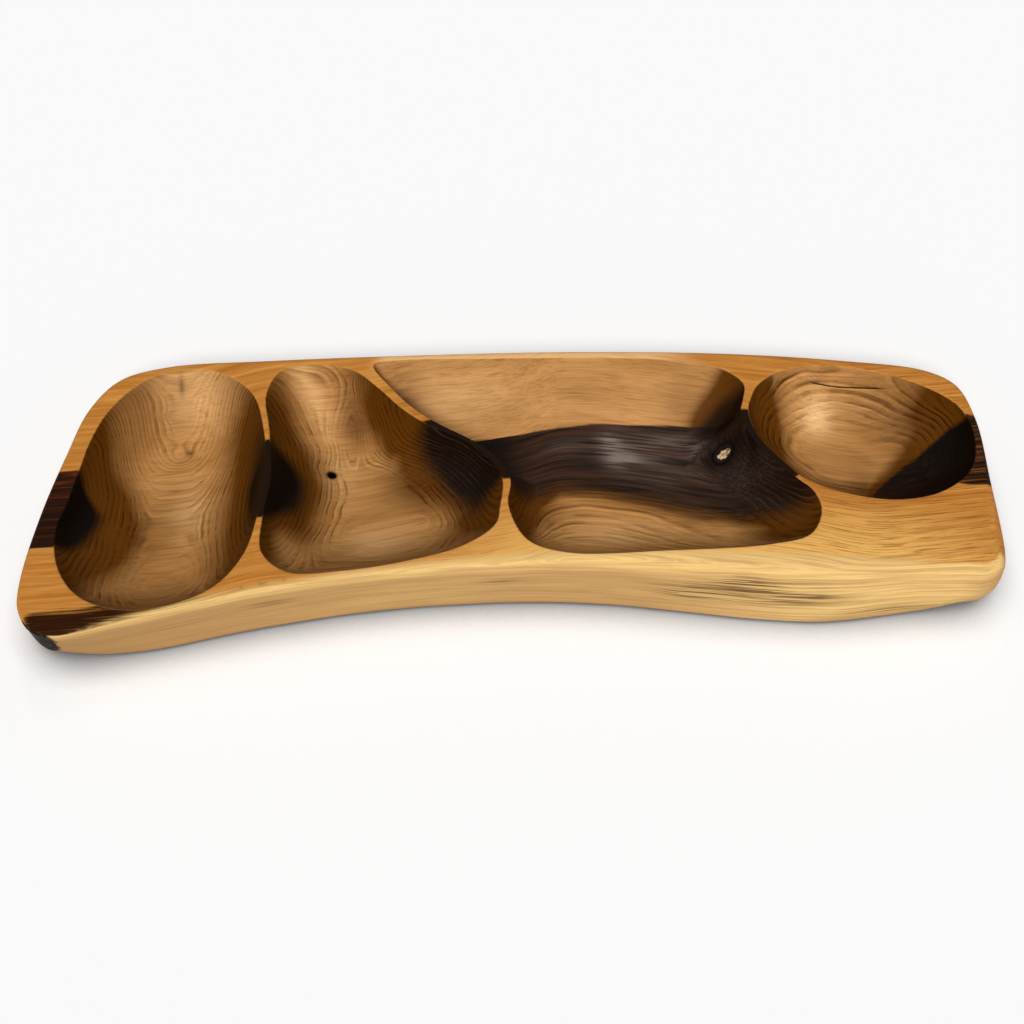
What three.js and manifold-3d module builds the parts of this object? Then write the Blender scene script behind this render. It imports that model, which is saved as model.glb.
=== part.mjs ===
// Appetizer dish: a thick live-edge board, bowed along the back and waisted along the front, with four
// hollows carved into its top and a dead knot sitting in the floor of the long hollow.
// Millimetres, +Z up. The origin is under the middle of the board, on the surface that it stands on.
import * as THREE from 'three';
import Module from 'manifold-3d';

// Board
const boardLength = 452; // along X, over the two sawn ends
const boardWidth = 160; // along Y, from the crown of the back edge to the front left corner
const boardThickness = 36;
const topRound = 2; // eased edge round the top
const baseRound = 4; // eased edge round the underside
const cornerTuck = 6; // how much further the underside draws in at the two front corners
const cornerLift = 9; // and how much higher it starts there
const cornerSpread = 26; // reach of that extra easing round a corner
const leftCornerFromEnd = 10;
const rightCornerFromEnd = 4;
const rightCornerFromFront = 36;

// Live front edge: it swells out below the top towards the right, and draws in below it on the left
const swell = 13;
const swellFromRight = 90; // middle of the swelling, measured from the right end
const swellSpreadLeft = 90; // it dies away slowly to the left and sooner to the right
const swellSpreadRight = 56;
const undercut = 11;
const undercutFromLeft = 8; // middle of the undercut, measured from the left end
const undercutSpread = 30;

// Hollows
const floorThickness = 11; // wood left under the hollows
const shallowFloorThickness = 13; // and under the small one at the right end
const wallRun = 43; // how far a wall reaches in from the rim before the floor begins
const leastFloor = 7; // least half width of a floor
const ovalCrest = 2.5; // crests left between the hollows, measured along the board
const slantCrest = 3.6;
const hookCrest = 3.5;

// Knot in the long hollow's floor, and the borer hole in the second hollow
const knotDiameter = 9;
const knotFootDiameter = 6;
const knotBelowFloor = 3; // how far it reaches below the level of the floor
const knotTaperLength = 8; // it narrows to its foot over this length
const knotClearance = 0.3;
const knotFromRight = 126.5;
const knotFromBack = 50;
const boreDiameter = 2.6;
const boreDepth = 4;
const boreFromLeft = 137;
const boreFromBack = 58;

// Fineness of the surfaces
const outlineSteps = 108;
const rimSteps = 60;
const wallSteps = 7;
const roundSteps = 3;
const sideSteps = 4;
const plugSides = 18;
const cutAbove = 6; // how far the cutters reach past the top of the board

// The lines that plan positions are measured from
const left = -boardLength / 2;
const right = boardLength / 2;
const back = boardWidth / 2;
const front = -boardWidth / 2;

// Top edge of the board, anticlockwise from the front right corner
const boardEdge = [
  [right, front + 47], [right - 3, back - 75], [right - 6, back - 40], [right - 13, back - 20.5],
  [right - 27, back - 11.5], [right - 66, back - 5.5], [right - 126, back - 1], [left + 256, back],
  [left + 180, back - 2], [left + 106, back - 5.5], [left + 56, back - 9.5], [left + 34, back - 17.5],
  [left + 21, back - 35], [left + 13, back - 62], [left + 5, front + 64], [left, front + 29],
  [left + 1, front + 14], [left + 8, front + 3], [left + 19, front], [left + 51, front + 8.5],
  [left + 102, front + 21.5], [left + 150, front + 30.5], [left + 194, front + 35.5],
  [left + 256, front + 39.5], [right - 128, front + 40], [right - 66, front + 38],
  [right - 22, front + 34.5], [right - 9, front + 34], [right - 2, front + 39],
];

// Middle lines of the three crests, from the front to the back
const ovalCrestLine = [[left + 107, front + 63], [left + 109.5, back - 74], [left + 107, back - 47]];
const slantCrestLine = [
  [left + 220.5, front + 70], [left + 221.5, back - 76], [left + 217, back - 66], [left + 207, back - 56],
];
const hookCrestLine = [
  [right - 92.5, back - 75], [right - 98.5, back - 69], [right - 104.5, back - 62], [right - 110, back - 55],
  [right - 114.5, back - 46], [right - 116.5, back - 36], [right - 115, back - 29],
];

// One side of a crest: its middle line moved along the board by half of the crest
function crestSide(line, crest, direction) {
  return line.map(([x, y]) => [x + (direction * crest) / 2, y]);
}

// Rims of the hollows, anticlockwise: the crests that they share, then their own free stretches
const ovalRim = [
  ...crestSide(ovalCrestLine, ovalCrest, -1),
  [left + 99, back - 26], [left + 84, back - 14], [left + 68, back - 11.5], [left + 48, back - 17],
  [left + 32, back - 34], [left + 24, back - 53], [left + 19.5, front + 84], [left + 17, front + 71],
  [left + 13.5, front + 57], [left + 16, front + 37], [left + 27, front + 21], [left + 46, front + 13.5],
  [left + 69, front + 16], [left + 89, front + 26], [left + 101, front + 43],
];
const slantRim = [
  ...crestSide(slantCrestLine, slantCrest, -1),
  [left + 180.5, back - 42], [left + 170.5, back - 34], [left + 159, back - 22], [left + 147, back - 12],
  [left + 129, back - 8.5], [left + 112, back - 12], [left + 105.5, back - 26],
  ...crestSide(ovalCrestLine, ovalCrest, 1).reverse(),
  [left + 109, front + 44], [left + 121, front + 33.5], [left + 145, front + 34],
  [left + 176, front + 39.5], [left + 202, front + 48], [left + 216.5, front + 59.5],
];
const longRim = [
  ...crestSide(hookCrestLine, hookCrest, -1),
  [right - 116, back - 20], [right - 127, back - 10.5], [right - 156, back - 5.5], [left + 256, back - 4.5],
  [left + 206, back - 5], [left + 168, back - 6], [left + 156.5, back - 8.5], [left + 166, back - 23],
  [left + 176, back - 34], [left + 186, back - 42],
  ...crestSide(slantCrestLine, slantCrest, 1).reverse(),
  [left + 231, front + 51], [left + 249, front + 44], [right - 156, front + 45],
  [right - 108, front + 48.5], [right - 90, front + 54], [right - 84, front + 67], [right - 87, back - 82],
];
const endRim = [
  [right - 8.5, back - 48], [right - 14, back - 33], [right - 29, back - 21.5], [right - 51, back - 13],
  [right - 76, back - 9], [right - 98, back - 12.5], [right - 109.5, back - 21],
  ...crestSide(hookCrestLine, hookCrest, 1).reverse(),
  [right - 76, back - 82], [right - 50, back - 87], [right - 27, back - 82.5], [right - 11.5, back - 69],
];

// A closed smooth curve through plan points, as evenly spaced points
function smoothLoop(points, steps) {
  const corners = points.map(([x, y]) => new THREE.Vector3(x, y, 0));
  const curve = new THREE.CatmullRomCurve3(corners, true, 'centripetal');
  curve.arcLengthDivisions = steps * 8;
  return curve.getSpacedPoints(steps).slice(0, steps);
}

// A closed skin over rings of points that run anticlockwise, from the lowest ring to the highest
function skin(rings) {
  const count = rings[0].length;
  const last = (rings.length - 1) * count;
  const index = [];
  for (let k = 0; k + 1 < rings.length; k++) {
    for (let i = 0; i < count; i++) {
      const a = k * count + i;
      const b = k * count + ((i + 1) % count);
      index.push(a, b, b + count, a, b + count, a + count);
    }
  }
  const cap = (ring) => THREE.ShapeUtils.triangulateShape(ring.map((p) => new THREE.Vector2(p.x, p.y)), []);
  for (const [a, b, c] of cap(rings[0])) {
    index.push(a, c, b);
  }
  for (const [a, b, c] of cap(rings[rings.length - 1])) {
    index.push(last + a, last + b, last + c);
  }
  return new THREE.BufferGeometry().setFromPoints(rings.flat()).setIndex(index);
}

// A bump of height 1 at the middle that dies away with distance
function bump(distance, spread) {
  return Math.exp(-((distance / spread) ** 2));
}

// How far the live edge stands out at a point of the front edge and a height: the swelling rolls over from
// the top like a quarter ellipse, and the undercut slants in below the eased edge
function liveEdge(point, outward, z) {
  const facing = Math.max(0, -outward.y);
  const down = 1 - z / boardThickness;
  const below = Math.max(0, 1 - z / (boardThickness - topRound));
  const fromSwell = point.x - (right - swellFromRight);
  const spread = fromSwell < 0 ? swellSpreadLeft : swellSpreadRight;
  const out = swell * bump(fromSwell, spread) * Math.sqrt(down * (2 - down));
  const inward = undercut * bump(point.x - (left + undercutFromLeft), undercutSpread) * below;
  return facing * (out - inward);
}

// The uncarved board: eased underside, sides with the live edge, eased top
function boardSkin() {
  const edge = smoothLoop(boardEdge, outlineSteps);
  const corners = [
    new THREE.Vector3(left + leftCornerFromEnd, front, 0),
    new THREE.Vector3(right - rightCornerFromEnd, front + rightCornerFromFront, 0),
  ];
  const outward = edge.map((_, i) => {
    const along = edge[(i + 1) % outlineSteps].clone().sub(edge[(i + outlineSteps - 1) % outlineSteps]);
    return new THREE.Vector3(along.y, -along.x, 0).normalize();
  });
  const ease = edge.map((p) => Math.max(...corners.map((c) => bump(p.distanceTo(c), cornerSpread))));
  const levels = [];
  for (let k = 0; k <= roundSteps; k++) {
    const angle = (k / roundSteps) * (Math.PI / 2);
    levels.push((i) => ({
      inset: (baseRound + cornerTuck * ease[i]) * (1 - Math.sin(angle)),
      z: (baseRound + cornerLift * ease[i]) * (1 - Math.cos(angle)),
    }));
  }
  for (let k = 1; k <= sideSteps; k++) {
    levels.push((i) => {
      const from = baseRound + cornerLift * ease[i];
      return { inset: 0, z: from + ((boardThickness - topRound - from) * k) / sideSteps };
    });
  }
  for (let k = 1; k <= roundSteps; k++) {
    const angle = (k / roundSteps) * (Math.PI / 2);
    levels.push(() => ({
      inset: topRound * (1 - Math.cos(angle)),
      z: boardThickness - topRound * (1 - Math.sin(angle)),
    }));
  }
  const rings = levels.map((level) => edge.map((p, i) => {
    const { inset, z } = level(i);
    const standOut = liveEdge(p, outward[i], z);
    return p.clone().addScaledVector(outward[i], standOut - inset).setZ(z);
  }));
  return skin(rings);
}

// The room of one hollow: a flat floor that echoes the rim, and a wall whose section is a circular arc that
// runs straight on through the top of the board
function hollowSkin(rim, floorZ) {
  const edge = smoothLoop(rim, rimSteps);
  const box = new THREE.Box3().setFromPoints(edge);
  const middle = box.getCenter(new THREE.Vector3());
  const half = box.getSize(new THREE.Vector3()).multiplyScalar(0.5);
  const depth = boardThickness - floorZ;
  const run = Math.min(wallRun, half.x - leastFloor, half.y - leastFloor);
  const shrink = new THREE.Vector3(1 - run / half.x, 1 - run / half.y, 1);
  const floor = edge.map((p) => p.clone().sub(middle).multiply(shrink).add(middle));
  const steepest = 2 * Math.atan(depth / run);
  const rings = [];
  for (let k = 0; k < wallSteps; k++) {
    const angle = (steepest * k) / wallSteps;
    const reach = Math.sin(angle) / Math.sin(steepest);
    const z = floorZ + (depth * (1 - Math.cos(angle))) / (1 - Math.cos(steepest));
    rings.push(edge.map((p, i) => floor[i].clone().lerp(p, reach).setZ(z)));
  }
  const rise = (depth * Math.sin(steepest) * Math.tan(steepest)) / (1 - Math.cos(steepest));
  const lid = 1 + cutAbove / rise;
  rings.push(edge.map((p, i) => floor[i].clone().lerp(p, lid).setZ(boardThickness + cutAbove)));
  return skin(rings);
}

// A round plug standing upright in the board, with a diameter at each of its levels
function plugSkin(x, y, levels) {
  const rings = levels.map(([z, diameter]) => {
    const ring = [];
    for (let i = 0; i < plugSides; i++) {
      const angle = (2 * Math.PI * i) / plugSides;
      const arm = new THREE.Vector3(Math.cos(angle), Math.sin(angle), 0).multiplyScalar(diameter / 2);
      ring.push(new THREE.Vector3(x, y, z).add(arm));
    }
    return ring;
  });
  return skin(rings);
}

const wasm = await Module();
wasm.setup();

function solid(geometry) {
  return new wasm.Manifold(new wasm.Mesh({
    numProp: 3,
    vertProperties: new Float32Array(geometry.getAttribute('position').array),
    triVerts: new Uint32Array(geometry.index.array),
  }));
}

function geometryOf(body) {
  const mesh = body.getMesh();
  const geometry = new THREE.BufferGeometry();
  geometry.setAttribute('position', new THREE.BufferAttribute(mesh.vertProperties, 3));
  geometry.setIndex(new THREE.BufferAttribute(mesh.triVerts, 1));
  geometry.computeVertexNormals();
  return geometry;
}

const hollows = [
  hollowSkin(ovalRim, floorThickness),
  hollowSkin(slantRim, floorThickness),
  hollowSkin(longRim, floorThickness),
  hollowSkin(endRim, shallowFloorThickness),
].map(solid);

// The knot is a tapered plug trimmed flush with the long hollow, in a socket that is larger by its clearance
const longHollow = hollows[2];
const knotFoot = floorThickness - knotBelowFloor;
function knotSkin(clearance) {
  return plugSkin(right - knotFromRight, back - knotFromBack, [
    [knotFoot - clearance, knotFootDiameter + 2 * clearance],
    [knotFoot + knotTaperLength, knotDiameter + 2 * clearance],
    [boardThickness + cutAbove, knotDiameter + 2 * clearance],
  ]);
}
const plug = solid(knotSkin(0)).subtract(longHollow);
const socket = solid(knotSkin(knotClearance));

const bore = solid(plugSkin(left + boreFromLeft, back - boreFromBack, [
  [floorThickness - boreDepth, boreDiameter],
  [boardThickness, boreDiameter],
]));

const carved = [...hollows, socket, bore].reduce((body, cutter) => body.subtract(cutter), solid(boardSkin()));

const oiledWood = new THREE.MeshStandardMaterial({ color: 0xb07c3c, roughness: 0.5, metalness: 0 });
const darkKnot = new THREE.MeshStandardMaterial({ color: 0x2b1a12, roughness: 0.6, metalness: 0 });

const slab = new THREE.Mesh(geometryOf(carved), oiledWood);
slab.name = 'slab';
const knot = new THREE.Mesh(geometryOf(plug), darkKnot);
knot.name = 'knot';

const dish = new THREE.Group();
dish.name = 'appetizer_dish';
dish.add(slab, knot);

export default dish;
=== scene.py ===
import bmesh
import bpy
import numpy as np
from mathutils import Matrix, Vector
from mathutils.geometry import delaunay_2d_cdt


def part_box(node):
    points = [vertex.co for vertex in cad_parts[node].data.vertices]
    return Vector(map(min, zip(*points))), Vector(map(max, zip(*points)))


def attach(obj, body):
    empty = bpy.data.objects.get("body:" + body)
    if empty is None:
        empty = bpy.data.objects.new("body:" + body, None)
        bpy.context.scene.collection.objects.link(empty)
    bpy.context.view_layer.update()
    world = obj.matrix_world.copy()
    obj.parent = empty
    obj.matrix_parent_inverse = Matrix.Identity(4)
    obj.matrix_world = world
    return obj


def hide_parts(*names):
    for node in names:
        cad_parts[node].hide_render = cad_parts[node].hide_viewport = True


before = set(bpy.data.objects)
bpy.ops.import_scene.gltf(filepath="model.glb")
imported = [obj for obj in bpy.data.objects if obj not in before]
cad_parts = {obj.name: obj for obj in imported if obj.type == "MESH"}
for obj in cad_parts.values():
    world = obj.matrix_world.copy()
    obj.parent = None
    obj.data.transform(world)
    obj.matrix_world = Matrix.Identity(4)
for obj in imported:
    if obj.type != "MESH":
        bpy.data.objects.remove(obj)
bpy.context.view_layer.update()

# Datum lines of the board in millimetres, from the CAD slab's box to the whole millimetre
slabLow, slabHigh = [np.array(corner) * 1000 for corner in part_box("slab")]
left, front = np.round(slabLow[:2])
right, back = np.round(slabHigh[:2])
top = slabHigh[2]
mm = 0.001


# A closed smooth curve through plan points, evenly spaced: a centripetal spline, each stretch a cubic whose
# end slopes come from the neighbouring points and the square roots of their distances
def smoothLoop(points, count):
    p1 = np.array(points, float)
    p0, p2, p3 = np.roll(p1, 1, 0), np.roll(p1, -1, 0), np.roll(p1, -2, 0)
    d0, d1, d2 = [np.sqrt(np.linalg.norm(b - a, axis=1))[:, None] for a, b in ((p0, p1), (p1, p2), (p2, p3))]
    m1 = d1 * ((p1 - p0) / d0 - (p2 - p0) / (d0 + d1) + (p2 - p1) / d1)
    m2 = d1 * ((p2 - p1) / d1 - (p3 - p1) / (d1 + d2) + (p3 - p2) / d2)
    samples = 40  # points on each stretch, before they are spaced evenly
    t = np.linspace(0, 1, samples, endpoint=False)[None, :, None]
    p1, p2, m1, m2 = [a[:, None, :] for a in (p1, p2, m1, m2)]
    dense = p1 * (2 * t**3 - 3 * t**2 + 1) + m1 * (t**3 - 2 * t**2 + t)
    dense = (dense + p2 * (3 * t**2 - 2 * t**3) + m2 * (t**3 - t**2)).reshape(-1, 2)
    dense = np.vstack([dense, dense[:1]])
    run = np.concatenate([[0], np.cumsum(np.linalg.norm(np.diff(dense, axis=0), axis=1))])
    at = np.linspace(0, run[-1], count, endpoint=False)
    return np.stack([np.interp(at, run, dense[:, k]) for k in (0, 1)], 1)


# Length round a closed loop of points
def loopLength(loop):
    return np.linalg.norm(np.roll(loop, -1, 0) - loop, axis=1).sum()


# A smooth curve along the board: cubics through (x, value) stations, with the slope of the chord at each one
def alongBoard(stations, x):
    xs, ys = np.array(stations, float).T
    slope = np.gradient(ys, xs)
    x = np.clip(x, xs[0], xs[-1])
    k = np.clip(np.searchsorted(xs, x) - 1, 0, len(xs) - 2)
    h = xs[k + 1] - xs[k]
    t = (x - xs[k]) / h
    ends = ys[k] * (2 * t**3 - 3 * t**2 + 1) + ys[k + 1] * (3 * t**2 - 2 * t**3)
    return ends + h * (slope[k] * (t**3 - 2 * t**2 + t) + slope[k + 1] * (t**3 - t**2))


# Rises smoothly from 0 at low to 1 at high
def ease(low, high, value):
    t = np.clip((value - low) / (high - low), 0, 1)
    return t * t * (3 - 2 * t)


# A bump of height 1 that dies away with distance
def bump(distance, spread):
    return np.exp(-((distance / spread) ** 2))


# Even-odd test of many points against one closed loop
def insideLoop(points, loop):
    a, b = loop, np.roll(loop, -1, 0)
    x, y = points[:, :1], points[:, 1:2]
    spans = (a[:, 1] > y) != (b[:, 1] > y)
    tiny = 1e-9  # in place of 0 where an edge is level
    rise = np.where(b[:, 1] == a[:, 1], tiny, b[:, 1] - a[:, 1])
    crossing = a[:, 0] + (y - a[:, 1]) * (b[:, 0] - a[:, 0]) / rise
    return (spans & (x < crossing)).sum(1) % 2 == 1


# Quads between wrapped rings of count points, the first ring starting at index start
def ringFaces(rings, count, start):
    k = np.arange(rings - 1)[:, None] * count
    i = np.arange(count)[None, :]
    j = (i + 1) % count
    quads = np.stack([k + i, k + j, k + count + j, k + count + i], -1)
    return quads.reshape(-1, 4) + start


# Flat face between loops: triangles over the loops' own points and a staggered grid of inner points
def flatFace(outer, holes, pitch, margin):
    rowShare = 0.866  # height of an even triangle as a share of its side
    batches = 24  # the grid is measured in batches, so that the table of distances stays small
    tolerance = 1e-7
    loops = [outer, *holes]
    rim = np.vstack(loops)
    low, high = outer.min(0), outer.max(0)
    columns, rows = np.arange(low[0], high[0], pitch), np.arange(low[1], high[1], pitch * rowShare)
    gx, gy = np.meshgrid(columns, rows)
    gx = gx + (np.arange(gx.shape[0]) % 2)[:, None] * pitch / 2
    grid = np.stack([gx.ravel(), gy.ravel()], 1)
    grid = grid[insideLoop(grid, outer)]
    for hole in holes:
        grid = grid[~insideLoop(grid, hole)]
    near = np.concatenate([
        np.sqrt(((part[:, None, :] - rim[None, :, :]) ** 2).sum(2)).min(1)
        for part in np.array_split(grid, batches)
    ])
    grid = grid[near > margin]
    points = np.vstack([rim, grid])
    edges, start = [], 0
    for loop in loops:
        i = np.arange(len(loop))
        edges.append(np.stack([i, (i + 1) % len(loop)], 1) + start)
        start += len(loop)
    corners = [Vector(p) for p in points]
    made = delaunay_2d_cdt(corners, np.vstack(edges).tolist(), [], 0, tolerance)
    madeFaces, origins = made[2:4]
    source = np.array([origin[0] for origin in origins])
    triangles = source[np.array(madeFaces)]
    middle = points[triangles].mean(1)
    keep = insideLoop(middle, outer)
    for hole in holes:
        keep &= ~insideLoop(middle, hole)
    return grid, triangles[keep]


# Plan of the board's top edge, anticlockwise from the front right corner
boardEdge = [
    (right, front + 47), (right - 3, back - 75), (right - 6, back - 40), (right - 13, back - 20.5),
    (right - 27, back - 11.5), (right - 66, back - 5.5), (right - 126, back - 1), (left + 256, back),
    (left + 180, back - 2), (left + 106, back - 5.5), (left + 56, back - 9.5), (left + 34, back - 17.5),
    (left + 21, back - 35), (left + 13, back - 62), (left + 5, front + 64), (left, front + 29),
    (left + 1, front + 14), (left + 8, front + 3), (left + 19, front), (left + 51, front + 8.5),
    (left + 102, front + 21.5), (left + 150, front + 30.5), (left + 194, front + 35.5),
    (left + 256, front + 39.5), (right - 128, front + 40), (right - 66, front + 38),
    (right - 22, front + 34.5), (right - 9, front + 34), (right - 2, front + 39),
]

# Middle lines of the three crests between the hollows, front to back
ovalCrestLine = [(left + 107, front + 63), (left + 109.5, back - 74), (left + 107, back - 47)]
slantCrestLine = [
    (left + 220.5, front + 70), (left + 221.5, back - 76), (left + 217, back - 66), (left + 207, back - 56),
]
hookCrestLine = [
    (right - 92.5, back - 75), (right - 98.5, back - 69), (right - 104.5, back - 62),
    (right - 110, back - 55), (right - 114.5, back - 46), (right - 116.5, back - 36),
    (right - 115, back - 29),
]
crests = {"oval": 2.5, "slant": 3.6, "hook": 3.5}  # their widths along the board, mm


# One side of a crest: its middle line moved along the board by half of the crest
def crestSide(line, width, direction):
    return [(x + direction * width / 2, y) for x, y in line]


# Rims of the hollows, anticlockwise: the crests that they share, then their own free stretches
ovalRim = [
    *crestSide(ovalCrestLine, crests["oval"], -1),
    (left + 99, back - 26), (left + 84, back - 14), (left + 68, back - 11.5), (left + 48, back - 17),
    (left + 32, back - 34), (left + 24, back - 53), (left + 19.5, front + 84), (left + 17, front + 71),
    (left + 13.5, front + 57), (left + 16, front + 37), (left + 27, front + 21), (left + 46, front + 13.5),
    (left + 69, front + 16), (left + 89, front + 26), (left + 101, front + 43),
]
slantRim = [
    *crestSide(slantCrestLine, crests["slant"], -1),
    (left + 180.5, back - 42), (left + 170.5, back - 34), (left + 159, back - 22), (left + 147, back - 12),
    (left + 129, back - 8.5), (left + 112, back - 12), (left + 105.5, back - 26),
    *crestSide(ovalCrestLine, crests["oval"], 1)[::-1],
    (left + 109, front + 44), (left + 121, front + 33.5), (left + 145, front + 34),
    (left + 176, front + 39.5), (left + 202, front + 48), (left + 216.5, front + 59.5),
]
longRim = [
    *crestSide(hookCrestLine, crests["hook"], -1),
    (right - 116, back - 20), (right - 127, back - 10.5), (right - 156, back - 5.5), (left + 256, back - 4.5),
    (left + 206, back - 5), (left + 168, back - 6), (left + 156.5, back - 8.5), (left + 166, back - 23),
    (left + 176, back - 34), (left + 186, back - 42),
    *crestSide(slantCrestLine, crests["slant"], 1)[::-1],
    (left + 231, front + 51), (left + 249, front + 44), (right - 156, front + 45),
    (right - 108, front + 48.5), (right - 90, front + 54), (right - 84, front + 67), (right - 87, back - 82),
]
endRim = [
    (right - 8.5, back - 48), (right - 14, back - 33), (right - 29, back - 21.5), (right - 51, back - 13),
    (right - 76, back - 9), (right - 98, back - 12.5), (right - 109.5, back - 21),
    *crestSide(hookCrestLine, crests["hook"], 1)[::-1],
    (right - 76, back - 82), (right - 50, back - 87), (right - 27, back - 82.5), (right - 11.5, back - 69),
]

hollow = {
    "floor": 11.0,  # wood left under the hollows, mm
    "endFloor": 13.0,  # and under the small one
    "wallRun": 43.0,  # how far in from its rim a wall reaches at most
    "leastFloor": 7.0,  # half of the floor's width at least
    "lip": 0.7,  # how far the eased rim reaches either side of its line
    "lipShare": 0.4,  # and at most this share of the flat between the rim and the board's edge
    "pitch": 1.25,  # spacing of points round a rim
    "lipSteps": 4,
    "wallSteps": 24,
    "floorSteps": 10,
    "toolMarks": 0.16,  # depth of the faint waves left by carving
    "toolFull": 8.0,  # how far below the top they reach that depth
    "toolWaves": (6.1, 7.3),  # their lengths along and across the board, mm per radian
    "toolBends": ((0.9, 13.0), (1.1, 17.0)),  # amounts and lengths of the slower waves that bend them
}


# One hollow as rings from its eased rim in to the middle of its floor: a quadratic curve over the rim, then a
# wall whose section is a circular arc from the rim down to a floor that echoes the rim's plan
def hollowRings(rim, floorZ, brim):
    count = int(loopLength(np.array(rim)) / hollow["pitch"])
    edge = smoothLoop(rim, count)
    flat = np.linalg.norm(edge[:, None, :] - brim[None, :, :], axis=2).min(1)
    lip = np.minimum(hollow["lip"], hollow["lipShare"] * flat)
    low, high = edge.min(0), edge.max(0)
    middle, half = (low + high) / 2, (high - low) / 2
    run = min(hollow["wallRun"], *(half - hollow["leastFloor"]))
    floor = middle + (edge - middle) * (1 - run / half)
    reach = np.linalg.norm(floor - edge, axis=1)
    inward = (floor - edge) / reach[:, None]
    depth = top - floorZ
    steepest = 2 * np.arctan(depth / run)
    across = reach / np.tan(steepest)  # speeds of the arc at the rim, per radian
    down = depth * np.sin(steepest) / (1 - np.cos(steepest))
    speed = np.hypot(across, down)
    t = np.linspace(0, 1, hollow["lipSteps"] + 1)[:, None]
    slide = lip * (-((1 - t) ** 2) + t**2 * across / speed)
    drop = lip * t**2 * down / speed
    lipXy = edge + inward * slide[:, :, None]
    lipZ = top - drop
    start = steepest - lip / speed
    angle = start * np.linspace(1, 0, hollow["wallSteps"] + 1)[1:, None]
    share = np.sin(angle) / np.sin(steepest)
    wallXy = floor + (edge - floor) * share[:, :, None]
    wallZ = floorZ + depth * (1 - np.cos(angle)) / (1 - np.cos(steepest))
    shrink = np.linspace(1, 0, hollow["floorSteps"] + 1)[1:-1, None, None]
    floorXy = middle + (floor - middle) * shrink
    floorZs = np.full(floorXy.shape[:2], floorZ)
    xy = np.concatenate([lipXy, wallXy, floorXy])
    z = np.concatenate([lipZ, wallZ, floorZs])
    carved = ease(0, hollow["toolFull"], top - z)
    x, y = xy[..., 0], xy[..., 1]
    waveX, waveY = hollow["toolWaves"]
    (bendX, slowY), (bendY, slowX) = hollow["toolBends"]
    waves = np.sin(x / waveX + bendX * np.sin(y / slowY)) * np.sin(y / waveY + bendY * np.sin(x / slowX))
    z = z + hollow["toolMarks"] * carved * (waves - 1) / 2
    points = np.concatenate([xy, z[..., None]], 2)
    pole = np.array([[*middle, floorZ]])
    return points, pole


board = {
    "topRound": 2.0,
    "pillow": 8.0,  # how much larger the top round is at the front right corner
    "pillowAt": (right - 6, front + 36),
    "pillowSpread": 38.0,
    "baseRound": 4.0,
    "corners": [(left + 10, front), (right - 4, front + 36)],  # where the underside is rounded more:
    "cornerTuck": [6.0, 11.0],  # how far in,
    "cornerLift": [9.0, 16.0],  # how far up
    "cornerSpread": [26.0, 24.0],  # and how far to either side
    "swell": 13.0,  # how far the live edge spreads out below the top
    "swellAt": right - 90,  # where it spreads most
    "swellLeft": 90.0,
    "swellRight": 51.0,
    "undercut": 11.0,  # how far it draws in at the left end
    "undercutAt": left + 8,
    "undercutSpread": 30.0,
    "dents": 0.55,  # depth of the hollows that the bark left on the live edge
    "dentWaves": [(23, 9), (9.7, -5.5), (5.2, 3.1)],  # lengths in x and z: two that cross, then a quick one
    "quickDents": 0.6,
    "dentsAway": (6.0, 5.0),  # how far from the underside and the top they are at that depth
    "dentsEnd": (right - 6, right - 50),  # where they come in from the right end
    "cornerBlend": 9.0,  # how far along the edge the sides' directions are blended
    "around": 760,
    "baseSteps": 5,
    "sideSteps": 15,
    "topSteps": 8,
    "topPitch": 2.4,  # spacing of points on the top, and their distance from its edges
    "topMargin": 1.0,
    "basePitch": 6.0,  # the same for the underside
    "baseMargin": 2.0,
}


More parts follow.
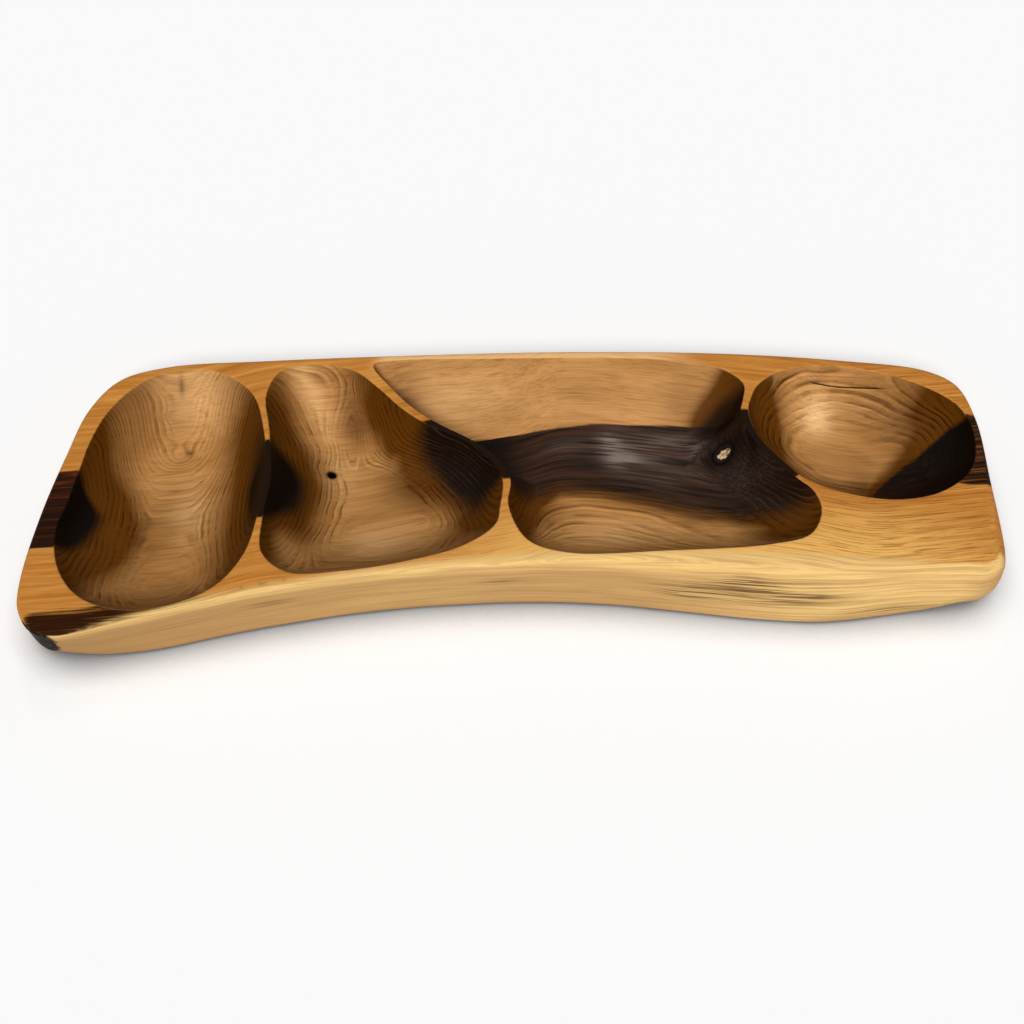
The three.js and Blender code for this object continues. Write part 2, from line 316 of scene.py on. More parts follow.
# Sides of the board as rings from the underside up: quarter rounds at the base and the top, and between
# them a side that swells out or draws in along the live front edge
def sideRings():
    count = board["around"]
    edge = smoothLoop(boardEdge, count)
    along = np.roll(edge, -1, 0) - np.roll(edge, 1, 0)
    outward = np.stack([along[:, 1], -along[:, 0]], 1) / np.linalg.norm(along, axis=1)[:, None]
    step = loopLength(edge) / count
    shift = np.minimum(np.arange(count), count - np.arange(count)) * step
    weight = np.fft.rfft(bump(shift, board["cornerBlend"] * 2**0.5))
    blended = [np.fft.irfft(np.fft.rfft(part) * weight, count) for part in outward.T]
    outward = np.stack(blended, 1) / weight[0].real
    fromCorners = [np.linalg.norm(edge - corner, axis=1) for corner in board["corners"]]
    eased = np.array([bump(away, reach) for away, reach in zip(fromCorners, board["cornerSpread"])])
    tuck = board["baseRound"] + np.array(board["cornerTuck"]) @ eased
    lift = board["baseRound"] + np.array(board["cornerLift"]) @ eased
    a = np.linspace(0, np.pi / 2, board["baseSteps"] + 1)[:, None]
    baseIn, baseZ = tuck * (1 - np.sin(a)), lift * (1 - np.cos(a))
    k = np.linspace(0, 1, board["sideSteps"] + 1)[1:, None]
    fromPillow = np.linalg.norm(edge - np.array(board["pillowAt"]), axis=1)
    topRound = board["topRound"] + board["pillow"] * bump(fromPillow, board["pillowSpread"])
    sideZ = lift + (top - topRound - lift) * k
    a = np.linspace(0, np.pi / 2, board["topSteps"] + 1)[1:, None]
    topIn = topRound * (1 - np.cos(a))
    topZ = top - topRound * (1 - np.sin(a))
    inset = np.concatenate([baseIn, 0 * sideZ, topIn])
    z = np.concatenate([baseZ, sideZ, topZ])
    facing = np.maximum(0, -outward[:, 1])
    down = 1 - z / top
    below = np.maximum(0, 1 - z / (top - board["topRound"]))
    fromSwell = edge[:, 0] - board["swellAt"]
    spread = np.where(fromSwell < 0, board["swellLeft"], board["swellRight"])
    out = board["swell"] * bump(fromSwell, spread) * np.sqrt(np.maximum(0, down * (2 - down)))
    draw = board["undercut"] * bump(edge[:, 0] - board["undercutAt"], board["undercutSpread"]) * below
    x = edge[:, 0]
    first, second, quick = [np.sin(x / lengthX + z / lengthZ) for lengthX, lengthZ in board["dentWaves"]]
    waves = first * second + board["quickDents"] * quick
    highest = 1 + board["quickDents"]
    fromBase, fromTop = board["dentsAway"]
    shown = ease(0, fromBase, z) * ease(0, fromTop, top - z) * ease(*board["dentsEnd"], x)
    dents = board["dents"] * shown * (waves - highest) / (2 * highest)
    stand = facing * (out - draw + dents) - inset
    xy = edge + outward * stand[..., None]
    return np.concatenate([xy, z[..., None]], 2), facing


# Stores one value per point of a mesh
def storeValue(mesh, name, values):
    layer = mesh.attributes.new(name, "FLOAT", "POINT")
    layer.data.foreach_set("value", values.astype(np.float32))


# Reads such values back
def readValue(mesh, name):
    values = np.empty(len(mesh.vertices), np.float32)
    mesh.attributes[name].data.foreach_get("value", values)
    return values.astype(float)


print("dish: working out the surface")
sides, facing = sideRings()
brim = sides[-1, :, :2]
rims = [(ovalRim, "floor"), (slantRim, "floor"), (longRim, "floor"), (endRim, "endFloor")]
patches = [hollowRings(rim, hollow[floor], brim) for rim, floor in rims]
vertices, faces, hollowMask, liveMask, patchMask = [], [], [], [], []


# Adds points to the dish and returns the index of the first; patch is 0, or the number of a hollow
def addPoints(points, inHollow, onLive, patch):
    start = sum(len(v) for v in vertices)
    vertices.append(points.reshape(-1, 3))
    hollowMask.append(np.broadcast_to(inHollow, points.shape[:-1]).ravel())
    liveMask.append(np.broadcast_to(onLive, points.shape[:-1]).ravel())
    patchMask.append(np.full(points.shape[:-1], patch, float).ravel())
    return start


# Adds a level face between loops of the dish's own points and returns its triangles
def addLevel(outer, holes, height, pitch, margin):
    plan = np.vstack(vertices)[:, :2]
    grid, triangles = flatFace(plan[outer], [plan[hole] for hole in holes], pitch, margin)
    start = addPoints(np.column_stack([grid, np.full(len(grid), height)]), 0.0, 0.0, 0)
    return np.concatenate([outer, *holes, start + np.arange(len(grid))])[triangles]


ringCount, around = sides.shape[:2]
sideStart = addPoints(sides, 0.0, facing, 0)
faces += ringFaces(ringCount, around, sideStart).tolist()
topLoop = sideStart + (ringCount - 1) * around + np.arange(around)
baseLoop = sideStart + np.arange(around)
lipLoops = []
for number, (points, pole) in enumerate(patches, 1):
    rings, count = points.shape[:2]
    inHollow = ease(1, hollow["lipSteps"], np.arange(rings))[:, None]
    start = addPoints(points, inHollow, 0.0, number)
    poleAt = addPoints(pole, 1.0, 0.0, number)
    faces += ringFaces(rings, count, start).tolist()
    i = np.arange(count)
    last = start + (rings - 1) * count
    faces += np.stack([last + i, last + (i + 1) % count, np.full(count, poleAt)], 1).tolist()
    lipLoops.append(start + i)

faces += addLevel(topLoop, lipLoops, top, board["topPitch"], board["topMargin"]).tolist()
faces += addLevel(baseLoop, [], 0.0, board["basePitch"], board["baseMargin"])[:, ::-1].tolist()

dishMesh = bpy.data.meshes.new("dish")
dishMesh.from_pydata((np.clip(np.vstack(vertices), slabLow, slabHigh) * mm).tolist(), [], faces)
dishMesh.update()
for name, values in (("hollow", hollowMask), ("live", liveMask), ("patch", patchMask)):
    storeValue(dishMesh, name, np.concatenate(values))
print("dish:", len(dishMesh.vertices), "points,", len(dishMesh.polygons), "faces")

pinHole = {
    "at": (left + 137, back - 58),
    "wall": (1.25, 1.7),  # radii between which it drops to its depth, mm
    "depth": 3.6,
    "fine": (3.5, 3),  # how far round it the mesh is refined, and how many times
}
knotSeat = {"at": (right - 126.5, back - 50), "wall": (4.45, 4.85), "depth": 2.2, "fine": (9.0, 2)}
crack = {
    "line": [(143, 66.8), (150, 66.2), (158, 65.3), (165, 64.6), (174, 63.4), (182, 61.9)],
    "width": 0.34,
    "depth": 1.0,
    "leftEnd": (142, 147),  # where it comes in, and where it goes out
    "rightEnd": (183, 174),
    "fine": (3.0, 3),
}
aboveBase = 5.0  # points over this height are in a hollow and not on the underside, mm


# Distance in plan from points to a bent line
def lineDistance(xy, line):
    line = np.array(line, float)
    a, b = line[:-1], line[1:]
    span = b - a
    t = ((xy[:, None, :] - a) * span).sum(2) / (span**2).sum(1)
    foot = a + np.clip(t, 0, 1)[..., None] * span
    return np.linalg.norm(xy[:, None, :] - foot, axis=2).min(1)


# Reads the dish's points as an array in millimetres
def readPoints(mesh):
    co = np.empty(len(mesh.vertices) * 3, np.float32)
    mesh.vertices.foreach_get("co", co)
    return co.reshape(-1, 3).astype(float) / mm


# Splits the faces of a mesh where a distance function of plan points is small, rounds times over
def refine(mesh, distance, reach, rounds):
    for turn in range(rounds):
        points = readPoints(mesh)
        near = (distance(points[:, :2]) < reach / (turn + 1)) & (points[:, 2] > aboveBase)
        bm = bmesh.new()
        bm.from_mesh(mesh)
        bm.verts.ensure_lookup_table()
        picked = [f for f in bm.faces if any(near[v.index] for v in f.verts)]
        bmesh.ops.triangulate(bm, faces=[f for f in picked if len(f.verts) > 3])
        picked = [f for f in bm.faces if any(v.index < len(near) and near[v.index] for v in f.verts)]
        edges = list({e for f in picked for e in f.edges})
        bmesh.ops.subdivide_edges(bm, edges=edges, cuts=1, use_grid_fill=True)
        bmesh.ops.triangulate(bm, faces=[f for f in bm.faces if len(f.verts) > 4])
        bm.to_mesh(mesh)
        bm.free()


# Distances in plan from the pin hole, the knot and the crack
def fromPin(xy):
    return np.linalg.norm(xy - np.array(pinHole["at"]), axis=1)


def fromKnot(xy):
    return np.linalg.norm(xy - np.array(knotSeat["at"]), axis=1)


def fromCrack(xy):
    return lineDistance(xy, crack["line"])


refine(dishMesh, fromPin, *pinHole["fine"])
refine(dishMesh, fromKnot, *knotSeat["fine"])
refine(dishMesh, fromCrack, *crack["fine"])
restPoints = readPoints(dishMesh)  # the surface before the pin hole, knot seat and crack are sunk
xy = restPoints[:, :2]
inside = restPoints[:, 2] > aboveBase
sink = pinHole["depth"] * (1 - ease(*pinHole["wall"], fromPin(xy)))
sink = sink + knotSeat["depth"] * (1 - ease(*knotSeat["wall"], fromKnot(xy)))
taper = ease(*crack["leftEnd"], xy[:, 0]) * ease(*crack["rightEnd"], xy[:, 0])
sink = sink + crack["depth"] * taper * (1 - ease(0, crack["width"], fromCrack(xy)))
sunk = restPoints.copy()
sunk[:, 2] -= np.where(inside, sink, 0)
dishMesh.vertices.foreach_set("co", (sunk * mm).astype(np.float32).ravel())
dishMesh.update()
dishMesh.polygons.foreach_set("use_smooth", np.ones(len(dishMesh.polygons), bool))
print("dish: refined to", len(dishMesh.vertices), "points")

# How the wood grew: the pith runs along the board near its top, and the dark heart lies round it
# x, then y of the pith
pithLine = [
    (-226, -14), (-190, -11), (-156, -7), (-117, 5), (-80, 9), (-45, 17), (-25, 19), (0, 24), (22, 31),
    (40, 31), (65, 28), (90, 24), (107, 22), (135, 18), (165, 12), (190, 14), (226, 18),
]
knotFlow = {"reach": 8.0, "core": 2.5, "most": 0.9, "fade": 26.0}  # how the fibres part round the knot
liveFibre = {"y": -62.0, "below": 2.5}  # the fibre that the live edge follows, and how soon below the top
# The stretch of the outline that is the front edge
frontEdge = {"points": 400, "before": -30.0, "from": left + 12, "to": right - 4}

growthRing = {
    # How far the rings follow width and depth: on the top, then in the four hollows
    "shape": [(1.0, 1.7), (1.0, 2.25), (1.0, 2.3), (1.0, 1.7), (0.45, 2.0)],
    # Distance from the pith, then the width of a ring there, mm: the outer rings are the narrower
    "width": [(0, 4.4), (30, 4.0), (44, 3.2), (52, 2.3), (57, 1.7), (64, 1.5), (120, 1.5)],
    "samples": 601,  # steps in which rings are counted over those distances
    # Places where the rings bulge: x, y, reach along x and y, shift in mm
    "bulges": [(-163, 33, 6, 5, 2.5)],
    # Where the rings fold into a V in the slanting hollow
    "fold": {"x": -80.0, "rise": 9.0, "reach": 10.0, "round": 1.5, "behind": (22, 38)},
    "seen": (0.04, 0.16),  # rings per mm of surface between which their lines come in
    "least": 0.3,  # what shows of the lines where the surface runs along the rings
    # x, then how far the lines fade on the walls behind the heart
    "calmBack": [
        (-226, 0.1), (-150, 0.25), (-100, 0), (-60, 0.2), (-40, 0.85), (100, 0.85), (120, 0), (226, 0),
    ],
    "calmFrom": (0.6, 1.2),  # how far behind, in half widths of the heart
    # Places where the lines fade: x, y, reach along x and y, amount
    "calmTouches": [(-160, -33, 18, 15, 1.1), (-58, -10, 24, 12, 1.1)],
    "calmMost": 0.95,
    "paleMost": 0.8,  # and how far at most in pale places
    # How far they fade on the floors of the left hollows, how far in front of the pith and how deep
    "calmFloor": {"amount": 0.75, "before": (14, 34), "below": (14, 20)},
    "longShow": {"back": 0.6, "front": (12, 0)},  # what shows in the long hollow, weaker behind y 12 to 0
    "endShow": 1.25,  # and in the small one
}

heartwood = {
    # x, then y of the heart's middle, its half width on the top, and its depth below the top
    "middle": [
        (-226, -13.5), (-208, -12), (-190, -9), (-160, -3), (-130, 4), (-118, 5), (-105, 9), (-80, 13),
        (-45, 20), (-25, 18), (-17, 19.5), (-8, 22), (3, 26), (12, 31), (22, 33.5), (40, 32.8), (65, 29.3),
        (90, 25.3), (107, 23.4), (120, 22), (135, 21), (150, 18), (168, 15), (186, 18), (205, 22), (226, 20),
    ],
    "half": [
        (-226, 21), (-190, 21), (-160, 20), (-130, 21), (-118, 22), (-105, 19.5), (-80, 19), (-45, 17.5),
        (-30, 22), (-17, 20), (-8, 18), (3, 20), (12, 16), (22, 14.8), (40, 16.4), (65, 19.2), (90, 21.2),
        (107, 21.6), (120, 21), (130, 16.5), (135, 13), (142, 10), (150, 8), (190, 8), (200, 17), (207, 20),
        (226, 19),
    ],
    "depth": [
        (-226, 17), (-190, 16.5), (-160, 12), (-120, 13), (-105, 17), (-80, 15), (-45, 20), (-25, 27),
        (226, 27),
    ],
    "ovalLoss": 0.5,  # share of that depth that is lost at the back of the oval hollow
    "ovalBack": (0.1, 0.8),  # how far behind the middle, in half widths
    # x, then y of the heart's back and front edges in the long hollow, and of its back edge in the small one
    "longUpper": [
        (-45, 33), (-39, 35.5), (-32, 40), (-26, 42), (-14, 43.5), (2, 46), (21, 49.5), (36, 51), (66, 50.5),
        (90, 48.5), (100, 47), (112, 45), (125, 40),
    ],
    "longLower": [
        (-40, 0), (-8, 1), (0, 3), (10, 9), (21, 15.5), (40, 13.5), (64, 7), (88, 0), (107, -3), (125, -4.5),
        (142, -4.5),
    ],
    "endUpper": [
        (140, -30), (158, -16), (164, -4), (168.6, 4), (175, 14.5), (186, 25.5), (201, 37), (209, 41),
        (218, 40),
    ],
    "endSlant": 0.6,  # distance across that slanting edge for each mm of y
    "overRim": (0.3, 0.9),  # where the outline on the top gives way to those in the hollows
    # How soft the outline is on the top and in the oval, slanting and small hollows, mm
    "topSoft": 0.7,
    "ovalSoft": 4.0,
    "slantSoft": 4.5,
    "endSoft": 1.0,
    "longFrontSoft": 7.0,  # at the front edge in the long hollow
    "longBackSoft": 0.5,  # at its back edge, and how much more at the right end
    "longMoreSoft": 2.5,
    "longSofter": (95, 110),
    # Where the streaks are light, and where the ring lines show as veins: amounts, and x from and to
    "longLight": (-14, 12),
    "longLightLoss": 0.5,
    "longLightEnd": (84, 104),
    "slantLight": 0.25,
    "slantLightFrom": (-75, -55),
    "slantVeins": 0.6,
    "slantVeinsFrom": (-78, -58),
    "longVeins": 0.15,
    "longMoreVeins": 0.4,
    "longVeinsFrom": (70, 95),
    # Red bands at the left end, fewer in front, and golden ones at the right end
    "redFrom": (-192, -203),
    "redFront": 0.35,
    "redBack": (0.0, 0.8),
    "goldFrom": (198, 208),
}

# Colours of the hollows: the wood's own tones, and painted light: shade, highlights and a sheen
hollowToneAndPaintedLight = {
    # x, then how far the brown halo reaches out from the heart inside the hollows
    "haloReach": [
        (-226, 14), (-190, 18), (-150, 14), (-120, 12), (-100, 14), (-70, 14), (-45, 18), (-20, 10), (0, 8),
        (12, 8), (22, 8), (90, 9), (110, 10), (125, 11), (140, 7), (160, 6), (185, 9), (205, 12), (226, 12),
    ],
    "halo": 0.85,
    "haloBack": (92, 108),  # x from which the back edge in the long hollow has a halo
    # x, then how much painted shade darkens the walls that face the back, away from the key lamp
    "frontWallShade": [
        (-226, 0.55), (-135, 0.5), (-112, 0.35), (-60, 0.3), (-20, 0.45), (5, 0.25), (20, 0), (100, 0),
        (125, 0.5), (226, 0.3),
    ],
    "facingBack": (0.1, 0.6),  # slopes of the walls that face the back, and of those that face the ends
    "facingEnd": (0.1, 0.75),
    "endLoss": 0.4,  # how much less brown the walls facing the ends are behind the heart
    "endLossFrom": (0.5, 1.8),
    # Brown, pale and black places in the hollows: x, y, reach along x and y, amount. Some brown ones are
    # painted shade, as on the long hollow's left slope at x -57; the pale ones at x -155 and 147 are painted
    # highlights on the back walls of the oval and small hollows
    "brown": [
        (8, 3, 14, 14, 0.9), (128, -13, 17, 12, 0.9), (-186, -16, 20, 24, 0.6), (-197, -22, 10, 12, 0.7),
        (-122, 14, 9, 36, 0.9), (-122, -12, 8, 14, 0.5), (-50, 24, 16, 26, 0.25), (-81, 60, 8, 18, 0.45),
        (-60, 44, 12, 16, 0.35), (-77, 47, 8, 12, 0.5), (204, 50, 13, 12, 0.75), (-112, 45, 8, 22, 0.3),
        (-103, 12, 9, 20, 0.35), (119, 28, 8, 18, 0.9), (121, 52, 7, 14, 0.6), (-75, 4, 36, 22, 0.2),
        (192, 42, 16, 16, 0.4), (84, 58, 16, 12, 0.35), (166, 30, 24, 14, 0.25), (168, 12, 8, 10, 0.5),
        (-57, 57, 11, 11, 0.7), (-27, -13, 11, 11, 0.5), (-135, 42, 10, 20, 0.3), (-168, 48, 12, 14, 0.2),
        (-170, -10, 14, 20, 0.15), (0, 52, 60, 12, 0.12), (-200, 30, 7, 18, 0.5), (-92, -20, 14, 12, 0.35),
        (-189, -6, 12, 18, 0.3), (-150, -5, 22, 26, 0.15), (-48, 47, 9, 8, 0.5), (-109, -22, 8, 10, -0.5),
        (126, 48, 9, 16, 0.4), (178, 52, 14, 12, 0.35),
    ],
    "pale": [
        (-104, 69, 5, 8, 0.5), (-98, 58, 4.5, 8, 0.4), (-92, 46, 4, 8, 0.3), (-155, 62, 22, 14, 0.4),
        (147, 54, 8, 9, 1.0), (-30, 60, 24, 10, 0.3), (-156, 0, 9, 13, 0.45), (-86, 22, 8, 14, 0.3),
        (-64, -18, 20, 10, 0.5), (46, -14, 26, 9, 0.4), (-113, -26, 8, 8, 0.3),
    ],
    "black": [
        (-163, 63.5, 1.3, 3.0, 0.6), (-159, 35.5, 2.2, 1.7, 0.7), (-89, 22, 2.0, 1.9, 2.5),
        (99.5, 30, 7.5, 6.5, 1.4), (-121, 4, 6, 32, 1.1), (113.5, 30, 3, 13, 0.8), (-19, 3, 7, 12, 0.8),
        (-107, 0, 7, 10, 0.8),
    ],
    # Painted sheen: grey reflection painted onto the heart
    "paintedSheen": [
        (46, 42, 6, 5, 1.0), (51, 33, 8, 5, 1.1), (66, 42, 20, 5, 0.45), (64, 32, 12, 6, 0.4),
        (26, 38, 12, 6, 0.25), (84, 36, 12, 6, 0.35), (74, 22, 22, 6, 0.25), (112, 16, 12, 10, 0.1),
    ],
    "crackCore": 0.3,  # share of the crack's width that is black
}
# The right end of the long hollow darkens past a slanting line through a point
darkEnd = {
    "at": (81, 45),
    "across": (22 / 30.4, -21 / 30.4),
    "from": (76, 90),  # only behind and to the right of these, in x and y
    "behind": (38, 46),
    "brown": (-8, 3),  # distances past the line between which it turns brown and black, mm
    "black": (0, 8),
    "blackMost": 0.9,
    "blackLoss": 0.8,  # how much less black it is near the back rim, and from which y
    "blackBack": (54, 64),
}

liveEdge = {
    # x, then how far the pale sapwood reaches in from the live edge on the top
    "sapReach": [
        (-226, 0), (-212, 0), (-200, 1), (-170, 1.5), (-150, 2.5), (-120, 3), (-60, 3.5), (0, 5), (60, 5),
        (120, 4), (180, 3), (226, 1),
    ],
    "sapLoss": 6.0,  # keeps the top clear of sapwood where that reach is nothing, and the hollows
    "sapNone": (1.5, 0),
    "hollowLoss": 20.0,
    "sideSap": 4.0,  # how far the side is into the sapwood: the facing and the depth at which it starts
    "sideFacing": (0.1, 0.5),
    "sideBelow": (0.2, 1.6),
    "sapMost": 6.0,
    # x, then how much painted shade darkens the live edge: most at the steep, undercut left, growing
    # downwards from its top edge
    "shade": [
        (-226, 0.9), (-150, 0.8), (-60, 0.6), (60, 0.65), (110, 0.25), (150, 0), (205, 0), (218, 0.5),
        (226, 0.7),
    ],
    "shadeBelow": (2, 9),
    # painted shade at the foot of the live edge on the right, where it sits in shadow
    "footShade": 0.6,  # the dark foot at the right: amount, heights and x
    "footUnder": (11, 3),
    "footFrom": (115, 150),
    # Weathered streaks on the live edge: x, z, reach along x and z, amount
    "stains": [
        (-113, 23, 10, 1.6, 0.9), (-6, 22, 14, 2.2, 0.9), (80, 19, 18, 5, 1.2), (104, 27, 16, 4, 1.0),
        (126, 21, 26, 6, 1.3), (165, 28, 16, 2, 0.3), (172, 8, 30, 3, 0.6), (-165, 20, 30, 2, 0.4),
        (35, 15, 12, 2, 0.4), (-60, 25, 20, 1.6, 0.4),
    ],
    # x, then how wide the scorched strip along the front edge is
    "burnWidth": [
        (-224, 12), (-205, 14.5), (-190, 13), (-175, 11.5), (-160, 9), (-146, 6), (-134, 3), (-124, 0),
    ],
    "burnSoft": (-2, 5),
    "burnLeft": (left + 1, left + 9),
    "burnBelow": (2.4, 1.2),
    # The thin dark seam to the right of it: amount, distance from the edge, width, and x at its ends
    "seam": {"amount": 0.75, "away": 3.4, "width": 0.5, "left": (-135, -120), "right": (-78, -95)},
    "bark": (left + 8, front + 3, 10, 6, 1.6),  # x, y, reach along x and y, amount
    "barkBelow": (0.1, 0.9),
}

# Parts of the flat top: how far below it they end, and where it is golden, pale and streaky
flatTop = {
    "below": (1.5, 0.4),
    "gold": {"fromEdge": (42, 4), "left": (-60, 30), "right": (245, 170)},
    "pale": {"behind": (62, 70), "left": (-74, -60), "right": (95, 62)},
    "streaky": (90, 170),
}


# Straight lines between (x, value) stations
def between(stations, x):
    xs, ys = np.array(stations, float).T
    return np.interp(x, xs, ys)


# Soft ovals added up, each dying away with distance from its middle
def touches(spots, x, y):
    total = np.zeros_like(x)
    for atX, atY, reachX, reachY, amount in spots:
        total += amount * np.exp(-(((x - atX) / reachX) ** 2) - ((y - atY) / reachY) ** 2)
    return total


x, y, z = restPoints.T
normals = np.empty(len(x) * 3, np.float32)
dishMesh.vertex_normals.foreach_get("vector", normals)
normals = normals.reshape(-1, 3)
inHollow = readValue(dishMesh, "hollow")
live = readValue(dishMesh, "live")
patch = np.round(readValue(dishMesh, "patch"))
inOval, inSlant, inLong, inEnd = [patch == number for number in (1, 2, 3, 4)]
down = top - z

edgeX, edgeY = smoothLoop(boardEdge, frontEdge["points"]).T
onFront = (edgeY < frontEdge["before"]) & (edgeX > frontEdge["from"]) & (edgeX < frontEdge["to"])
order = np.argsort(edgeX[onFront])
fromEdge = y - np.interp(x, edgeX[onFront][order], edgeY[onFront][order])

# The fibres part round the knot as a stream parts round a post
knotY = knotSeat["at"][1]
apart = np.maximum(fromKnot(xy), knotFlow["core"])
parted = np.minimum(knotFlow["most"], (knotFlow["reach"] / apart) ** 2 * bump(apart, knotFlow["fade"]))
grainY = (y - knotY) * (1 - parted) + knotY - alongBoard(pithLine, x)
fibreY = grainY + live * ease(0, liveFibre["below"], down) * (liveFibre["y"] - grainY)
layer = dishMesh.attributes.new("grain", "FLOAT_VECTOR", "POINT")
layer.data.foreach_set("vector", np.stack([x, fibreY, -down], 1).astype(np.float32).ravel())

# Rings are counted outwards from the pith. They fade where the surface runs along them instead of across
ringAcross, ringDown = np.array(growthRing["shape"])[patch.astype(int)].T
ring = np.hypot(ringAcross * grainY, ringDown * down) + touches(growthRing["bulges"], x, y)
fold = growthRing["fold"]
foldAway = np.hypot(x - fold["x"], fold["round"]) - fold["round"]
ring = ring - fold["rise"] * np.tanh(foldAway / fold["reach"]) * inSlant * ease(*fold["behind"], y)
outwards = np.linspace(0, growthRing["width"][-1][0], growthRing["samples"])
turns = np.cumsum(outwards[1] / between(growthRing["width"], outwards))
storeValue(dishMesh, "ring", np.interp(ring, outwards, turns))
pithSlope = (alongBoard(pithLine, x + 1) - alongBoard(pithLine, x - 1)) / 2
pull = ringAcross**2 * grainY
rise = np.stack([-pull * pithSlope, pull, -(ringDown**2) * down], 1) / np.maximum(ring, 1)[:, None]
rise = rise - (rise * normals).sum(1)[:, None] * normals
crossed = np.linalg.norm(rise, axis=1) / between(growthRing["width"], ring)
across = ease(*growthRing["seen"], crossed)

# The heart is an ellipse round its middle on the top, and has drawn edges in the long and the small hollow.
# Its value is the distance in from its outline
half = alongBoard(heartwood["half"], x)
heartY = (y - alongBoard(heartwood["middle"], x)) / half
heartZ = down / alongBoard(heartwood["depth"], x)
heart = (1 - np.hypot(heartY, heartZ)) * half
shallow = 1 - heartwood["ovalLoss"] * ease(*heartwood["ovalBack"], heartY)
inOvalHeart = (1 - np.hypot(heartY, heartZ / shallow)) * half
fromUpper, fromLower = between(heartwood["longUpper"], x) - y, y - between(heartwood["longLower"], x)
nearUpper = fromUpper < fromLower
inEndHeart = heartwood["endSlant"] * (between(heartwood["endUpper"], x) - y)
hollows = [inOval, inSlant, inLong, inEnd]
hollowHeart = np.select(hollows, [inOvalHeart, heart, np.minimum(fromUpper, fromLower), inEndHeart], heart)
heart = heart + ease(*heartwood["overRim"], inHollow) * (hollowHeart - heart)
longBackSoft = heartwood["longBackSoft"] + heartwood["longMoreSoft"] * ease(*heartwood["longSofter"], x)
longSoft = np.where(nearUpper, longBackSoft, heartwood["longFrontSoft"])
topSoft = heartwood["topSoft"]
soft = [heartwood["ovalSoft"], heartwood["slantSoft"], longSoft, heartwood["endSoft"]]
storeValue(dishMesh, "heart", heart)
storeValue(dishMesh, "heartSoft", topSoft + inHollow * (np.select(hollows, soft, topSoft) - topSoft))

# Where ring lines show: less on calm walls and floors, and by hollow
pale = np.clip(touches(hollowToneAndPaintedLight["pale"], x, y), 0, 1)
calm = between(growthRing["calmBack"], x) * ease(*growthRing["calmFrom"], heartY)
calm = np.maximum(calm, np.minimum(pale, growthRing["paleMost"]))
calm = np.maximum(calm, np.clip(touches(growthRing["calmTouches"], x, y), 0, growthRing["calmMost"]))
calmFloor = growthRing["calmFloor"]
onFloor = (inOval | inSlant) * ease(*calmFloor["before"], -grainY) * ease(*calmFloor["below"], down)
calm = np.maximum(inHollow * calm, calmFloor["amount"] * onFloor)
longShow = growthRing["longShow"]["back"]
longShow = longShow + (1 - longShow) * ease(*growthRing["longShow"]["front"], y)
show = np.select([inLong, inEnd], [longShow, growthRing["endShow"]], 1)
least = growthRing["least"]
storeValue(dishMesh, "ringShow", (least + (1 - least) * across) * (1 - calm) * show)

# Brown, pale, black and grey in the hollows: the brown partly painted shade, the pale partly painted
# highlights, the grey a painted sheen
endGrain = ease(*hollowToneAndPaintedLight["facingEnd"], np.abs(normals[:, 0]))
storeValue(dishMesh, "endGrain", endGrain)
haloBack = np.where(inLong & nearUpper, ease(*hollowToneAndPaintedLight["haloBack"], x), 1)
halo = hollowToneAndPaintedLight["halo"] * ease(-1, 0, heart / between(hollowToneAndPaintedLight["haloReach"], x)) * haloBack
# Walls facing the ends are browner: partly their dark end grain, partly painted shade
endGrainAndShade = endGrain * (1 - hollowToneAndPaintedLight["endLoss"] * ease(*hollowToneAndPaintedLight["endLossFrom"], heartY))
# Painted shade: walls that face the back, away from the key lamp, are browned
backFacingShade = between(hollowToneAndPaintedLight["frontWallShade"], x) * ease(*hollowToneAndPaintedLight["facingBack"], normals[:, 1])
brown = np.maximum(np.maximum(endGrainAndShade, halo), backFacingShade) + touches(hollowToneAndPaintedLight["brown"], x, y)
pastLine = (x - darkEnd["at"][0]) * darkEnd["across"][0] + (y - darkEnd["at"][1]) * darkEnd["across"][1]
atEnd = inLong * ease(*darkEnd["from"], x) * ease(*darkEnd["behind"], y)
brown = brown + ease(*darkEnd["brown"], pastLine) * atEnd
endBlack = darkEnd["blackMost"] * (1 - darkEnd["blackLoss"] * ease(*darkEnd["blackBack"], y))
black = touches(hollowToneAndPaintedLight["black"], x, y) + endBlack * ease(*darkEnd["black"], pastLine) * atEnd
crackCore = hollowToneAndPaintedLight["crackCore"] * crack["width"]
black = black + taper * ease(crack["width"], crackCore, fromCrack(xy))
# The painted sheen: grey reflection painted onto the heart
paintedSheen = touches(hollowToneAndPaintedLight["paintedSheen"], x, y)
for name, amount in (("brown", brown), ("pale", pale), ("black", black), ("paintedSheen", paintedSheen)):
    storeValue(dishMesh, name, inHollow * np.clip(amount, 0, 1))

# Streaks of the heart
lightLoss = heartwood["longLightLoss"] * ease(*heartwood["longLightEnd"], x)
longLight = ease(*heartwood["longLight"], x) * (1 - lightLoss)
slantLight = heartwood["slantLight"] * ease(*heartwood["slantLightFrom"], x)
storeValue(dishMesh, "heartLight", inHollow * (inLong * longLight + inSlant * slantLight))
longVeins = heartwood["longVeins"] + heartwood["longMoreVeins"] * ease(*heartwood["longVeinsFrom"], x)
slantVeins = heartwood["slantVeins"] * ease(*heartwood["slantVeinsFrom"], x)
storeValue(dishMesh, "veins", inSlant * slantVeins + inLong * longVeins)
redFront = heartwood["redFront"]
redShare = redFront + (1 - redFront) * ease(*heartwood["redBack"], heartY)
storeValue(dishMesh, "bandRed", ease(*heartwood["redFrom"], x) * redShare)
storeValue(dishMesh, "bandGold", ease(*heartwood["goldFrom"], x))

